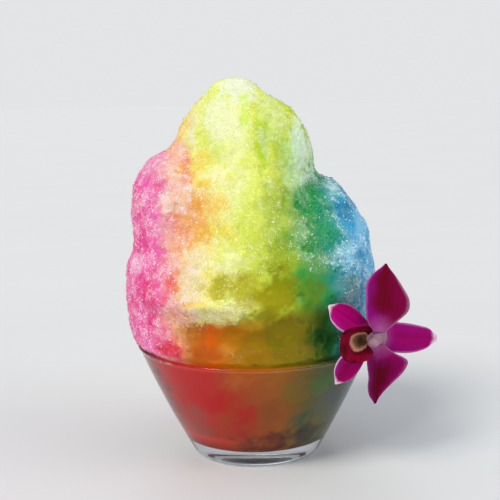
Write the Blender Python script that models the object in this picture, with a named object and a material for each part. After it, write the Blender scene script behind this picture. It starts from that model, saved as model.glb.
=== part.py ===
"""Rainbow shaved ice heaped in a small glass bowl, with an orchid flower tucked in at its right side.

Metres, +Z up. The origin is the centre of the bowl's flat foot, on the surface it stands on.
-Y is the front. The named sizes below are millimetres, and MM turns them into metres.
"""

import math

import bmesh
import bpy
import numpy as np
from mathutils import Vector, noise

MM = 0.001
GAP = 0.3  # clearance between pieces that touch
SHARP_ANGLE = math.radians(50)

# The glass bowl
BOWL_HEIGHT = 56.0
RIM_RADIUS = 58.0
WALL = 2.4
WALL_BULGE = 1.0  # how far the side stands out from a straight cone
CORNER_RADIUS = 32.2  # where the side meets the foot
CORNER_HEIGHT = 2.6
FOOT_RADIUS = 30.3
FLOOR_HEIGHT = 9.5  # top of the thick glass base, inside
FLOOR_FILLET = 7.0
FOOT_BEVEL = 0.8
FOOT_SIDE = 1.5  # height of the foot's own edge
CORNER_BEVEL = 0.6
BOWL_SEGMENTS = 60
WALL_STEPS = 5
FILLET_STEPS = 4

# The heap of ice: lobes that melt into each other, as (centre, half sizes, squareness)
LOBES = {
    "crown": ((-8.6, 1.0, 168.0), (15.8, 16.5, 15.0), 2.0),
    "tower": ((-4.2, 3.0, 138.0), (33.8, 35.0, 36.5), 2.6),
    "left shoulder": ((-33.0, 0.0, 119.5), (25.0, 35.0, 31.0), 2.3),
    "right shoulder": ((27.5, 7.0, 102.0), (27.5, 35.0, 33.0), 2.0),
    "belly": ((-1.5, 0.0, 84.0), (60.5, 54.5, 44.0), 2.4),
    "front slope": ((-4.0, -9.0, 106.0), (34.0, 41.0, 47.0), 2.1),
    "front ledge": ((-14.0, -21.0, 84.0), (36.0, 38.5, 9.0), 2.0),
    "back slope": ((2.0, 14.0, 104.0), (36.0, 38.0, 46.0), 2.0),
    "base": ((-1.0, 0.0, 60.0), (58.0, 56.0, 14.0), 3.0),
}
DENTS = {
    "crease beside the tower": ((31.0, -46.0, 124.0), (11.0, 20.0, 13.0), 2.0),
    "groove down the tower": ((14.0, -50.0, 150.0), (7.0, 18.0, 24.0), 2.0),
    "hollow over the ledge": ((12.0, -67.0, 94.0), (28.0, 14.5, 7.0), 2.0),
    "hollow under the ledge": ((0.0, -71.0, 66.0), (46.0, 18.0, 10.0), 2.0),
    "hollow by the flower": ((31.0, -58.0, 65.0), (9.0, 12.0, 8.0), 2.0),
    "groove at the back": ((-14.0, 54.0, 136.0), (8.0, 17.0, 24.0), 2.0),
}
LOBE_BLEND = 5.0
DENT_BLEND = 5.0
LUMP_SIZE = 13.0
LUMP_DEPTH = 1.3
LUMP_FADE = 0.8  # how much weaker each finer octave of lumps is
LUMP_STEP = 2.1  # and how much smaller
LUMP_OCTAVES = 3
HEAP_CENTRE_HEIGHT = 100.0  # the rays that find the heap's surface start here, on the axis
RAY_LENGTH = 100.0
RAY_STEPS = 200
HALVINGS = 12  # each one doubles how exactly a ray's end is known
HEAP_SEGMENTS = 60
HEAP_ROWS = 28
SMOOTH_ROWS = 4  # rows over the rim in which the lumps die away
FOOT_OVERLAP = 1.2  # how far the heap's foot at least covers the rim
EDGE_STEP = 0.3  # rounding of the heap's lower edge
SPILL_REACH = 0.9  # ice that stands out past the rim by this much hangs down
SPILL_DROP = 3.6  # how far the ice hangs outside the rim at the front left
SPILL_TAPER = 0.85
SPILL_MIDDLE = math.radians(204)
SPILL_SPREAD = math.radians(34)

# The orchid, which lies on its side: its top points right (u) and its face looks forward (n)
FLOWER_CENTRE = (54.3, -42.5, 65.1)
FLOWER_YAW = math.radians(23)
PETAL_THICKNESS = 0.9
PETAL_ROWS = 11
PETAL_COLUMNS = 5
PETAL_CUP = 1.0  # how far the sides curl forward
PETALS = {  # bearing from u towards v, length, half widths on its left and on its right, lift, reflex
    "top_sepal": (
        -8, 31.4, (5.2, 7.4, 7.2, 6.8, 6.0, 4.8, 1.6), (4.6, 6.2, 6.8, 6.8, 6.0, 4.4, 1.2), -1.7, 1.0
    ),
    "upper_petal": (
        81, 31.0, (3.4, 6.8, 8.3, 9.1, 9.8, 6.7, 0.4), (3.4, 8.8, 13.9, 13.6, 10.0, 5.6, 0.6), 1.1, 2.0
    ),
    "lower_petal": (
        -89, 28.0, (3.4, 8.6, 15.6, 13.8, 8.0, 3.0, 0.4), (3.4, 5.6, 5.4, 4.9, 5.1, 3.8, 0.8), 1.1, 2.5
    ),
    "upper_sepal": (
        143, 25.2, (1.8, 4.2, 5.4, 6.2, 6.2, 4.8, 0.9), (1.8, 4.0, 4.9, 5.6, 5.4, 3.9, 0.3), -1.7, 1.0
    ),
    "lower_sepal": (
        -135, 24.6, (1.6, 2.6, 3.4, 4.5, 4.8, 3.3, 0.4), (1.8, 4.2, 5.8, 6.9, 7.2, 5.4, 0.4), -1.7, 1.0
    ),
}
COLUMN_RADIUS = 2.8
COLUMN_LENGTH = 7.5
HUB_RADIUS = 2.6
HUB_THICKNESS = 2.2
COLUMN_SIDES = 14
LIP_ROWS = 7
LIP_COLUMNS = 17
LIP_SWEEP = 290  # degrees round the throat
LIP_START = (-6.2, 0.0, 1.4)  # the throat's middle, along u, v and n
LIP_SHIFT = (-7.0, -1.2)  # how far the margin's middle lies from the throat's, along u and v
THROAT_HALF_SIZES = (1.2, 1.4)
MARGIN_HALF_SIZES = (8.8, 9.4)
LIP_LOBING = 0.07
LIP_DEPTH = 4.2
SIDE_LOBE_DEPTH = 2.4  # how much further forward the side lobes reach
LIP_CURL = 1.6
STEM_RADIUS = 1.2
STEM_LENGTH = 19.0
STEM_BEND = (-1.5, 2.5)  # how far the stalk's end lies from a straight line, along u and v
STEM_POINTS = 8
STEM_SIDES = 10
STEM_CLEARANCE = 0.8


def superellipsoid(points, centre, half_sizes, squareness):
    """About the distance to a round-plan lobe's surface, negative inside. A squareness over 2
    makes its sides steeper and its top flatter."""
    scaled = np.abs((points - np.array(centre)) / np.array(half_sizes))
    across = np.hypot(scaled[..., 0], scaled[..., 1])
    reach = (across**squareness + scaled[..., 2] ** squareness) ** (1 / squareness)
    return (reach - 1) * min(half_sizes)


def soft_min(a, b, blend):
    """The lesser of two distances, rounded off where they meet."""
    mix = np.clip(0.5 + 0.5 * (b - a) / blend, 0, 1)
    return b + (a - b) * mix - blend * mix * (1 - mix)


def heap_distance(points):
    """Negative inside the heap: all the lobes together, less the dents."""
    lobes = [superellipsoid(points, *lobe) for lobe in LOBES.values()]
    distance = lobes[0]
    for lobe in lobes[1:]:
        distance = soft_min(distance, lobe, LOBE_BLEND)
    for dent in DENTS.values():
        distance = -soft_min(-distance, superellipsoid(points, *dent), DENT_BLEND)
    return distance


def surface_along(origin, directions):
    """How far each ray from origin goes before it leaves the heap."""
    reach = np.linspace(0, RAY_LENGTH, RAY_STEPS)
    points = origin + directions[:, None, :] * reach[None, :, None]
    inside = heap_distance(points) < 0
    last = RAY_STEPS - 1 - np.argmax(inside[:, ::-1], axis=1)
    near = reach[last]
    far = reach[np.minimum(last + 1, RAY_STEPS - 1)]
    for _ in range(HALVINGS):
        middle = (near + far) / 2
        within = heap_distance(origin + directions * middle[:, None]) < 0
        near = np.where(within, middle, near)
        far = np.where(within, far, middle)
    return near


def lump(point):
    """The small uneven swellings of scooped ice."""
    return LUMP_DEPTH * noise.fractal(Vector(point) / LUMP_SIZE, LUMP_FADE, LUMP_STEP, LUMP_OCTAVES)


def outer_radius(height):
    """The outside of the bowl's wall at a height."""
    rise = (height - CORNER_HEIGHT) / (BOWL_HEIGHT - CORNER_HEIGHT)
    straight = CORNER_RADIUS + (RIM_RADIUS - CORNER_RADIUS) * rise
    return straight + WALL_BULGE * math.sin(math.pi * rise)


def inner_radius(height):
    """The inside of the bowl's wall at a height over its rounded floor corner."""
    return outer_radius(height) - WALL


def inner_profile(gap):
    """(radius, height) from the middle of the floor up to the rim's inner edge, gap inside the glass."""
    corner_height = FLOOR_HEIGHT + FLOOR_FILLET
    corner_radius = inner_radius(corner_height) - FLOOR_FILLET
    points = []
    for step in range(FILLET_STEPS + 1):
        angle = math.pi / 2 * step / FILLET_STEPS
        radius = corner_radius + FLOOR_FILLET * math.sin(angle)
        height = corner_height - FLOOR_FILLET * math.cos(angle)
        points.append((radius - gap, height + gap))
    for step in range(1, WALL_STEPS + 1):
        height = corner_height + (BOWL_HEIGHT - corner_height) * step / WALL_STEPS
        points.append((inner_radius(height) - gap, height + gap))
    return points


def link(name, mesh, material):
    """A new object in the scene, smooth but for its sharp edges."""
    piece = bpy.data.objects.new(name, mesh)
    bpy.context.scene.collection.objects.link(piece)
    mesh.materials.append(material)
    mesh.shade_smooth()
    mesh.set_sharp_from_angle(angle=SHARP_ANGLE)
    return piece


def finish(name, material, verts, faces):
    """A mesh object from millimetre points, with its faces pointing out."""
    mesh = bpy.data.meshes.new(name)
    mesh.from_pydata([tuple(c * MM for c in point) for point in verts], [], faces)
    shell = bmesh.new()
    shell.from_mesh(mesh)
    bmesh.ops.recalc_face_normals(shell, faces=shell.faces)
    shell.to_mesh(mesh)
    shell.free()
    return link(name, mesh, material)


def material(name, colour, roughness, alpha=1.0, transmission=0.0):
    made = bpy.data.materials.new(name)
    made.use_nodes = True
    shader = made.node_tree.nodes["Principled BSDF"]
    shader.inputs["Base Color"].default_value = (*colour, 1)
    shader.inputs["Roughness"].default_value = roughness
    shader.inputs["Metallic"].default_value = 0
    shader.inputs["Alpha"].default_value = alpha
    shader.inputs["Transmission Weight"].default_value = transmission
    return made


def make_bowl(glass):
    """A turned glass bowl: flat foot, flared wall and a thick base."""
    rim_round = WALL / 2
    outline = [(FOOT_RADIUS - FOOT_BEVEL, 0.0), (FOOT_RADIUS, FOOT_BEVEL), (FOOT_RADIUS, FOOT_SIDE)]
    outline += [(CORNER_RADIUS - CORNER_BEVEL, CORNER_HEIGHT - CORNER_BEVEL)]
    for step in range(WALL_STEPS + 1):
        height = CORNER_HEIGHT + (BOWL_HEIGHT - rim_round - CORNER_HEIGHT) * step / WALL_STEPS
        outline.append((outer_radius(height), height))
    for angle in (40, 90, 140):
        turn = math.radians(angle)
        radius = RIM_RADIUS - rim_round + rim_round * math.cos(turn)
        outline.append((radius, BOWL_HEIGHT - rim_round + rim_round * math.sin(turn)))
    inside = inner_profile(0)[:-1]
    outline += [(RIM_RADIUS - WALL, BOWL_HEIGHT - rim_round)] + inside[::-1]

    verts = [(0.0, 0.0, 0.0), (0.0, 0.0, FLOOR_HEIGHT)]
    for radius, height in outline:
        for segment in range(BOWL_SEGMENTS):
            turn = 2 * math.pi * segment / BOWL_SEGMENTS
            verts.append((radius * math.cos(turn), radius * math.sin(turn), height))
    last_ring = len(outline) - 1
    faces = []
    for segment in range(BOWL_SEGMENTS):
        following = (segment + 1) % BOWL_SEGMENTS
        faces.append((0, 2 + following, 2 + segment))
        top = 2 + last_ring * BOWL_SEGMENTS
        faces.append((1, top + segment, top + following))
        for ring in range(last_ring):
            low = 2 + ring * BOWL_SEGMENTS
            high = low + BOWL_SEGMENTS
            faces.append((low + segment, low + following, high + following, high + segment))
    return finish("glass_bowl", glass, verts, faces)


def hanging_edge(turn, foot_radius, base_height):
    """The underside of the heap's lower edge, which hangs down outside the rim at the front left."""
    away = (turn - SPILL_MIDDLE + math.pi) % (2 * math.pi) - math.pi
    drop = 0.0
    if foot_radius > RIM_RADIUS + GAP + SPILL_REACH:
        drop = SPILL_DROP * math.exp(-((away / SPILL_SPREAD) ** 4))
    inner = min(foot_radius - 3 * EDGE_STEP, RIM_RADIUS + GAP)
    outer = max(inner + 2 * EDGE_STEP, foot_radius - 2 * EDGE_STEP)
    corner = (inner + EDGE_STEP / 2, base_height - SPILL_TAPER * drop)
    return [(outer, base_height - drop), corner, (inner, base_height)]


def heap_column(turn):
    """The heap's outline at one bearing, as (radius, height) from its top down to the bowl's floor."""
    base_height = BOWL_HEIGHT + GAP
    centre = np.array([0.0, 0.0, HEAP_CENTRE_HEIGHT])
    level = np.array([[math.cos(turn), math.sin(turn), 0.0]])
    foot_radius = float(surface_along(np.array([0.0, 0.0, base_height]), level)[0])
    foot_radius = max(foot_radius, inner_radius(BOWL_HEIGHT) + FOOT_OVERLAP)
    foot_angle = math.atan2(foot_radius, base_height - HEAP_CENTRE_HEIGHT)

    angles = foot_angle * np.arange(1, HEAP_ROWS) / HEAP_ROWS
    outward, upward = np.sin(angles), np.cos(angles)
    rays = np.stack([outward * math.cos(turn), outward * math.sin(turn), upward], axis=1)
    points = []
    for row, (ray, reach) in enumerate(zip(rays, surface_along(centre, rays))):
        fade = min(1.0, (HEAP_ROWS - 1 - row) / SMOOTH_ROWS)
        length = reach + fade * lump(centre + ray * reach)
        points.append((length * outward[row], HEAP_CENTRE_HEIGHT + length * upward[row]))
    points.append((foot_radius, base_height))
    return points + hanging_edge(turn, foot_radius, base_height) + inner_profile(GAP)[::-1]


def make_heap(ice):
    """The whole serving of ice: the heap over the rim and the soaked ice that fills the bowl."""
    centre = np.array([0.0, 0.0, HEAP_CENTRE_HEIGHT])
    top = float(surface_along(centre, np.array([[0.0, 0.0, 1.0]]))[0])
    verts = [(0.0, 0.0, HEAP_CENTRE_HEIGHT + top), (0.0, 0.0, FLOOR_HEIGHT + GAP)]
    columns = []
    for segment in range(HEAP_SEGMENTS):
        turn = 2 * math.pi * segment / HEAP_SEGMENTS
        start = len(verts)
        outline = heap_column(turn)
        verts += [(radius * math.cos(turn), radius * math.sin(turn), height) for radius, height in outline]
        columns.append(range(start, len(verts)))
    faces = []
    for segment, column in enumerate(columns):
        following = columns[(segment + 1) % HEAP_SEGMENTS]
        faces.append((0, column[0], following[0]))
        faces.append((1, following[-1], column[-1]))
        for row in range(len(column) - 1):
            faces.append((column[row], column[row + 1], following[row + 1], following[row]))
    return finish("shaved_ice", ice, verts, faces)


def flower_axes():
    """u points to the flower's top, v to its left petal and n out of its face."""
    u = Vector((math.cos(FLOWER_YAW), math.sin(FLOWER_YAW), 0))
    v = Vector((0, 0, 1))
    return u, v, u.cross(v)


def flower_point(along_u, along_v, along_n):
    u, v, n = flower_axes()
    return Vector(FLOWER_CENTRE) + u * along_u + v * along_v + n * along_n


def thick_sheet(name, skin, grid, thickness):
    """A closed sheet of even thickness round a grid of middle points."""
    rows, columns = len(grid), len(grid[0])
    sides = []
    for way in (0.5, -0.5):
        side = []
        for i in range(rows):
            for j in range(columns):
                along = grid[min(i + 1, rows - 1)][j] - grid[max(i - 1, 0)][j]
                across = grid[i][min(j + 1, columns - 1)] - grid[i][max(j - 1, 0)]
                side.append(grid[i][j] + along.cross(across).normalized() * thickness * way)
        sides.append(side)
    count = rows * columns
    verts = sides[0] + sides[1]
    faces = []
    for i in range(rows - 1):
        for j in range(columns - 1):
            a = i * columns + j
            quad = (a, a + 1, a + columns + 1, a + columns)
            faces.append(quad)
            faces.append(tuple(count + k for k in reversed(quad)))
    edge = [j for j in range(columns)]
    edge += [i * columns + columns - 1 for i in range(1, rows)]
    edge += [(rows - 1) * columns + j for j in range(columns - 2, -1, -1)]
    edge += [i * columns for i in range(rows - 2, 0, -1)]
    for here, there in zip(edge, edge[1:] + edge[:1]):
        faces.append((here, count + here, count + there, there))
    return finish(name, skin, verts, faces)


def smooth_through(values, t):
    """A smooth curve through evenly spaced values, read at t from 0 to 1."""
    last = len(values) - 1
    k = min(int(t * last), last - 1)
    part = t * last - k
    before, here, there, after = (values[min(max(i, 0), last)] for i in range(k - 1, k + 3))
    bend = before - 2.5 * here + 2 * there - 0.5 * after
    twist = 1.5 * (here - there) + 0.5 * (after - before)
    return here + part * (0.5 * (there - before) + part * (bend + part * twist))


def petal(name, skin, bearing, length, left_widths, right_widths, lift, reflex):
    """A petal or sepal. bearing is its direction from u towards v, and the half widths stand at
    even steps along it. lift raises its base and reflex bends its tip back."""
    turn = math.radians(bearing)
    grid = []
    for i in range(PETAL_ROWS):
        t = i / (PETAL_ROWS - 1)
        bow = math.sin(math.pi * t)
        along = HUB_RADIUS + GAP + length * t
        left, right = smooth_through(left_widths, t), smooth_through(right_widths, t)
        row = []
        for j in range(PETAL_COLUMNS):
            s = 2 * j / (PETAL_COLUMNS - 1) - 1
            across = s * (left if s > 0 else right)
            row.append(
                flower_point(
                    along * math.cos(turn) - across * math.sin(turn),
                    along * math.sin(turn) + across * math.cos(turn),
                    lift - reflex * t * t + PETAL_CUP * (s * s - 0.4) * bow,
                )
            )
        grid.append(row)
    return thick_sheet(name, skin, grid, PETAL_THICKNESS)


def between(start, end, t):
    return start + (end - start) * t


def make_lip(skin):
    """The orchid's lip: a crimson scoop open towards the column, with its sides curled forward."""
    grid = []
    for i in range(LIP_ROWS):
        depth = i / (LIP_ROWS - 1)
        half_u = between(THROAT_HALF_SIZES[0], MARGIN_HALF_SIZES[0], depth)
        half_v = between(THROAT_HALF_SIZES[1], MARGIN_HALF_SIZES[1], depth)
        row = []
        for j in range(LIP_COLUMNS):
            turn = math.pi + math.radians(LIP_SWEEP) * (j / (LIP_COLUMNS - 1) - 0.5)
            side = math.sin(turn) ** 2  # 0 at the middle lobe, 1 at the side lobes
            flare = 1 - LIP_LOBING * depth * math.cos(4 * (turn - math.pi))
            along_u = LIP_START[0] + LIP_SHIFT[0] * depth + half_u * flare * math.cos(turn)
            along_v = LIP_START[1] + LIP_SHIFT[1] * depth + half_v * flare * math.sin(turn)
            forward = LIP_START[2] + (LIP_DEPTH + SIDE_LOBE_DEPTH * side) * depth**LIP_CURL
            row.append(flower_point(along_u, along_v, forward))
        grid.append(row)
    return thick_sheet("orchid_lip", skin, grid, PETAL_THICKNESS)


def turned(name, skin, route, radii, sides):
    """A round closed piece along a route, with a radius at each point."""
    verts, faces = [], []
    for i, point in enumerate(route):
        way = (route[min(i + 1, len(route) - 1)] - route[max(i - 1, 0)]).normalized()
        side = way.cross(Vector((0, 0, 1))).normalized()
        up = side.cross(way)
        for k in range(sides):
            turn = 2 * math.pi * k / sides
            verts.append(point + (side * math.cos(turn) + up * math.sin(turn)) * radii[i])
    for i in range(len(route) - 1):
        for k in range(sides):
            following = (k + 1) % sides
            faces.append(
                (i * sides + k, i * sides + following, (i + 1) * sides + following, (i + 1) * sides + k)
            )
    faces.append(tuple(range(sides)))
    faces.append(tuple((len(route) - 1) * sides + k for k in reversed(range(sides))))
    return finish(name, skin, verts, faces)


def make_column(skin):
    """The hub that the petals stand round, and the short column with its blunt cap."""
    steps = [
        (-HUB_THICKNESS, 0.0, HUB_RADIUS - 0.8),
        (-HUB_THICKNESS + 0.6, 0.0, HUB_RADIUS - 0.2),
        (HUB_THICKNESS * 0.4, 0.0, HUB_RADIUS - 0.2),
        (HUB_THICKNESS * 0.8, -0.2, COLUMN_RADIUS + 0.2),
        (COLUMN_LENGTH * 0.65, -0.9, COLUMN_RADIUS),
        (COLUMN_LENGTH * 0.9, -1.5, COLUMN_RADIUS + 0.2),
        (COLUMN_LENGTH, -1.9, COLUMN_RADIUS - 0.6),
    ]
    route = [flower_point(along_u, 0, forward) for forward, along_u, _ in steps]
    return turned("orchid_column", skin, route, [radius for _, _, radius in steps], COLUMN_SIDES)


def stem_route(extra):
    """From just behind the flower back into the ice, extra past each end."""
    start = -HUB_THICKNESS - GAP + extra
    route = []
    for step in range(STEM_POINTS):
        t = step / (STEM_POINTS - 1)
        back = start - (STEM_LENGTH + 2 * extra) * t
        route.append(flower_point(STEM_BEND[0] * t * t, STEM_BEND[1] * t * t, back))
    return route


def make_stem(skin, ice):
    """The flower's stalk, and the hole that it makes in the ice."""
    stem = turned("orchid_stem", skin, stem_route(0.0), [STEM_RADIUS] * STEM_POINTS, STEM_SIDES)
    hole_radii = [STEM_RADIUS + GAP * 4 / 3] * STEM_POINTS  # a faceted hole is narrower mid-facet
    hole = turned("stem_hole", skin, stem_route(STEM_CLEARANCE), hole_radii, STEM_SIDES)
    hole.hide_render = True
    hole.display_type = "WIRE"
    cut = ice.modifiers.new("stem hole", "BOOLEAN")
    cut.operation = "DIFFERENCE"
    cut.object = hole
    return stem


def main():
    for old in list(bpy.data.objects):
        bpy.data.objects.remove(old)
    glass = material("clear glass", (0.93, 0.96, 0.97), 0.03, alpha=0.35, transmission=1.0)
    snow = material("rainbow ice", (0.90, 0.86, 0.42), 0.45)
    magenta = material("magenta petal", (0.42, 0.01, 0.20), 0.45)
    crimson = material("crimson lip", (0.25, 0.005, 0.03), 0.4)
    cream = material("cream column", (0.72, 0.62, 0.58), 0.45)
    green = material("green stalk", (0.35, 0.42, 0.16), 0.5)

    make_bowl(glass)
    ice = make_heap(snow)
    for name, shape in PETALS.items():
        petal("orchid_" + name, magenta, *shape)
    make_lip(crimson)
    make_column(cream)
    make_stem(green, ice)


main()
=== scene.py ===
# %% [markdown]
# # Rainbow shaved ice in a glass bowl
#
# A dessert made of almost nothing but ice crystals and light. A block of ice is shaved into
# fluff, piled twice as high as its bowl, and striped with syrups from pink to blue. An orchid
# flower leans on its right side. We start from the packed solids, which give every size, and
# dress them: clear glass, soaked ice inside it, a fluffy heap with loose crystals all over,
# and petals as thin as real ones.

import math
from itertools import product

import bmesh
import bpy
import numpy as np
from mathutils import Matrix, Vector


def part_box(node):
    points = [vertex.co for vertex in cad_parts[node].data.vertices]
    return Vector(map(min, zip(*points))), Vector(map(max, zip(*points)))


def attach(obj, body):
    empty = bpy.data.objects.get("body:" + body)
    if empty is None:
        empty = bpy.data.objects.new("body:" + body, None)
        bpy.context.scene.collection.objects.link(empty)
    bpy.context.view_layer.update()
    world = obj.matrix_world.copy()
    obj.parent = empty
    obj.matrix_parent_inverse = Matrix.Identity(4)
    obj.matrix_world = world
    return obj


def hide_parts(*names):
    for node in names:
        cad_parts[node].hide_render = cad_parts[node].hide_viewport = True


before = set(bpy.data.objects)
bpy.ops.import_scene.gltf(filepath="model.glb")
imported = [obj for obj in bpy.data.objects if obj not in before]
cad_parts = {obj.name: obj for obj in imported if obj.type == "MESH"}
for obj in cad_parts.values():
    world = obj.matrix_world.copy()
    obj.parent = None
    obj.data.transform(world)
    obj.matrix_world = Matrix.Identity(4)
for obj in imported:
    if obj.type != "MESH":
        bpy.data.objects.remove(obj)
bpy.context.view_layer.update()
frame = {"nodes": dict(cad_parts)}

# %% [markdown]
# ## Camera
#
# The eye is a little above the heap's waist and looks down by nine degrees, so that the bowl's
# rim shows as a shallow ellipse, and it leans by one degree. Its three directions are worked
# out with cross products and set as one matrix, which is surer than turning by three angles.

# %% Camera
MM = 0.001
EYE_DISTANCE = 0.453
EYE_HEIGHT = 0.172
EYE_SIDE = -0.0017
PITCH = math.radians(9.1)
ROLL = math.radians(1.0)
LENS = 67.7

bpy.context.scene.view_settings.view_transform = "Standard"

lens = bpy.data.cameras.new("eye")
lens.lens = LENS
eye = bpy.data.objects.new("eye", lens)
bpy.context.scene.collection.objects.link(eye)
forward = Vector((0, math.cos(PITCH), -math.sin(PITCH)))
level = Vector((1, 0, 0))
upright = level.cross(forward)
right = level * math.cos(ROLL) - upright * math.sin(ROLL)
place = Matrix.Translation((EYE_SIDE, -EYE_DISTANCE, EYE_HEIGHT))
turned = Matrix((right, right.cross(forward), -forward)).transposed().to_4x4()
eye.matrix_world = place @ turned
bpy.context.scene.camera = eye
print("camera", [round(v, 3) for v in eye.location], "looks along", [round(v, 3) for v in forward])


# %% [markdown]
# ## Materials as sums
#
# Shader nodes are easier to read as sums. `Wire` wraps one socket, so that `1 - mask * 0.5`
# adds the Math nodes by itself. Colours and places go through Mix and Vector Math, because a
# Math node would turn a colour grey.

# %% A wire that can be added and multiplied
class Wire:
    """One output socket of a material's node tree."""

    def __init__(self, tree, socket):
        self.tree = tree
        self.socket = socket

    def node(self, kind, settings, sockets, output=0):
        """Adds a node, sets it up, feeds its sockets and returns one of its outputs."""
        made = self.tree.nodes.new(kind)
        for name, value in settings.items():
            setattr(made, name, value)
        for name, value in sockets.items():
            if isinstance(value, Wire):
                self.tree.links.new(value.socket, made.inputs[name])
            else:
                made.inputs[name].default_value = value
        return Wire(self.tree, made.outputs[output])

    def math(self, operation, *values):
        return self.node("ShaderNodeMath", {"operation": operation}, dict(enumerate(values)))

    def __add__(self, other):
        return self.math("ADD", self, other)

    def __sub__(self, other):
        return self.math("SUBTRACT", self, other)

    def __rsub__(self, other):
        return self.math("SUBTRACT", other, self)

    def __mul__(self, other):
        return self.math("MULTIPLY", self, other)

    __radd__ = __add__
    __rmul__ = __mul__

    def rise(self, start, end):
        """0 before start, 1 after end and a soft step between them."""
        sockets = {"Value": self, "From Min": start, "From Max": end}
        return self.node("ShaderNodeMapRange", {"interpolation_type": "SMOOTHSTEP"}, sockets)

    def bell(self, centre, width):
        """1 at centre, falling away softly over width on both sides."""
        away = (self - centre) * (1 / width)
        return self.math("EXPONENT", away * away * -1)

    def stretched(self, scale):
        """A place, stretched along each axis."""
        settings = {"operation": "MULTIPLY"}
        return self.node("ShaderNodeVectorMath", settings, {0: self, 1: scale})

    def noise(self, size, detail=2.0, roughness=0.5):
        """Cloudy values round 0.5 at this place, with lumps about size millimetres across."""
        sockets = {"Vector": self, "Scale": 1000 / size, "Detail": detail, "Roughness": roughness}
        return self.node("ShaderNodeTexNoise", {}, sockets)

    def axes(self):
        """A place's x, y and z in millimetres."""
        parts = [self.node("ShaderNodeSeparateXYZ", {}, {0: self}, output=i) for i in range(3)]
        return [part * 1000 for part in parts]


print("a wire knows:", ", ".join(name for name in vars(Wire) if not name.startswith("_")))


# %% Colours and materials
def mix(share, first, second):
    """The colour first where share is 0 and second where it is 1."""
    wires = [x for x in (share, first, second) if isinstance(x, Wire)]
    sockets = {0: share, 6: first, 7: second}  # the factor and the two colours of a colour mix
    return wires[0].node("ShaderNodeMix", {"data_type": "RGBA"}, sockets, output=2)


def paint(red, green, blue):
    """A colour as the eye names it, 0 to 255, turned into the linear values that shaders use."""
    shares = np.array([red, green, blue]) / 255
    linear = np.where(shares <= 0.04045, shares / 12.92, ((shares + 0.055) / 1.055) ** 2.4)
    return (*linear.tolist(), 1.0)


def new_material(name, **fixed):
    """A Principled material and the place of what it paints, in the part's own metres."""
    material = bpy.data.materials.new(name)
    material.use_nodes = True
    tree = material.node_tree
    shader = tree.nodes["Principled BSDF"]
    for socket, value in fixed.items():
        shader.inputs[socket.replace("_", " ")].default_value = value
    where = Wire(tree, tree.nodes.new("ShaderNodeTexCoord").outputs["Object"])
    return material, shader, where


def feed(shader, **wires):
    """Links each wire to the shader's socket of that name."""
    for socket, wire in wires.items():
        wire.tree.links.new(wire.socket, shader.inputs[socket.replace("_", " ")])


def bump(height, strength, distance):
    """Shallow relief from a height, distance millimetres deep."""
    sockets = {"Height": height, "Strength": strength, "Distance": distance * MM}
    return height.node("ShaderNodeBump", {}, sockets)


print("hot pink, as shaders read it:", [round(v, 3) for v in paint(236, 46, 130)])


# %% [markdown]
# ## Meshes from arrays
#
# Every piece here is a mesh worked out with arrays, so one helper turns places and faces into an
# object, dresses it in its material, shades it smooth, hangs it on its body and hides the solid it
# stands for.

# %% From arrays to dressed pieces
def mesh_from(name, verts, faces):
    """A mesh from rows of places and rows of point numbers."""
    mesh = bpy.data.meshes.new(name)
    mesh.from_pydata([tuple(v) for v in verts], [], [tuple(f) for f in faces])
    mesh.update()
    return mesh


def add_piece(name, mesh, material, replaces=(), smooth=True):
    """Dresses a mesh in its material and ties it to the frame."""
    piece = bpy.data.objects.new(name, mesh)
    bpy.context.scene.collection.objects.link(piece)
    mesh.materials.clear()
    mesh.materials.append(material)
    if smooth:
        mesh.shade_smooth()
    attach(piece, "root")
    if replaces:
        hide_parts(*replaces)
    print(f"{name}: {len(mesh.vertices)} points, {len(mesh.polygons)} faces")
    return piece


print("solids to dress:", ", ".join(frame["nodes"]))

# %% [markdown]
# ## Floor and light
#
# The floor is one pale sheet that runs far past the view, so that no edge shows. The light is
# soft, as for a portrait: a broad lamp high on the left, which leaves the right side and the bowl
# in gentle shade, weaker ones on the right and behind, and a pale sky all round. Distant lamps
# have a width in degrees, which softens the edges of their shadows.

# %% The floor and the light
FLOOR_SIZE = 30.0
FLOOR_CLOUD = 180


def add_floor():
    """A wide pale sheet, a little cloudy, that isn't part of the model."""
    material, shader, where = new_material("pale floor", Roughness=0.8, Specular_IOR_Level=0.2)
    cloud = where.noise(FLOOR_CLOUD, 3)
    feed(shader, Base_Color=mix(cloud, paint(218, 218, 217), paint(224, 224, 223)))
    corners = [(x * FLOOR_SIZE, y * FLOOR_SIZE, 0) for x, y in ((-1, -1), (1, -1), (1, 1), (-1, 1))]
    floor = bpy.data.objects.new("floor", mesh_from("floor", corners, [(0, 1, 2, 3)]))
    bpy.context.scene.collection.objects.link(floor)
    floor.data.materials.append(material)


def add_sun(name, place, softness, strength, colour):
    """A far lamp whose light comes from place's side. softness is its width in degrees."""
    lamp = bpy.data.lights.new(name, "SUN")
    lamp.angle = math.radians(softness)
    lamp.energy = strength
    lamp.color = colour
    sun = bpy.data.objects.new(name, lamp)
    bpy.context.scene.collection.objects.link(sun)
    sun.rotation_euler = (-Vector(place)).to_track_quat("-Z", "Y").to_euler()


def add_sky(light, backdrop):
    """Even light from all round, behind a plain pale backdrop."""
    world = bpy.data.worlds.new("pale sky")
    bpy.context.scene.world = world
    world.use_nodes = True
    tree = world.node_tree
    seen = Wire(tree, tree.nodes.new("ShaderNodeLightPath").outputs["Is Camera Ray"])
    feed(tree.nodes["Background"], Color=mix(seen, light, backdrop))


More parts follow.
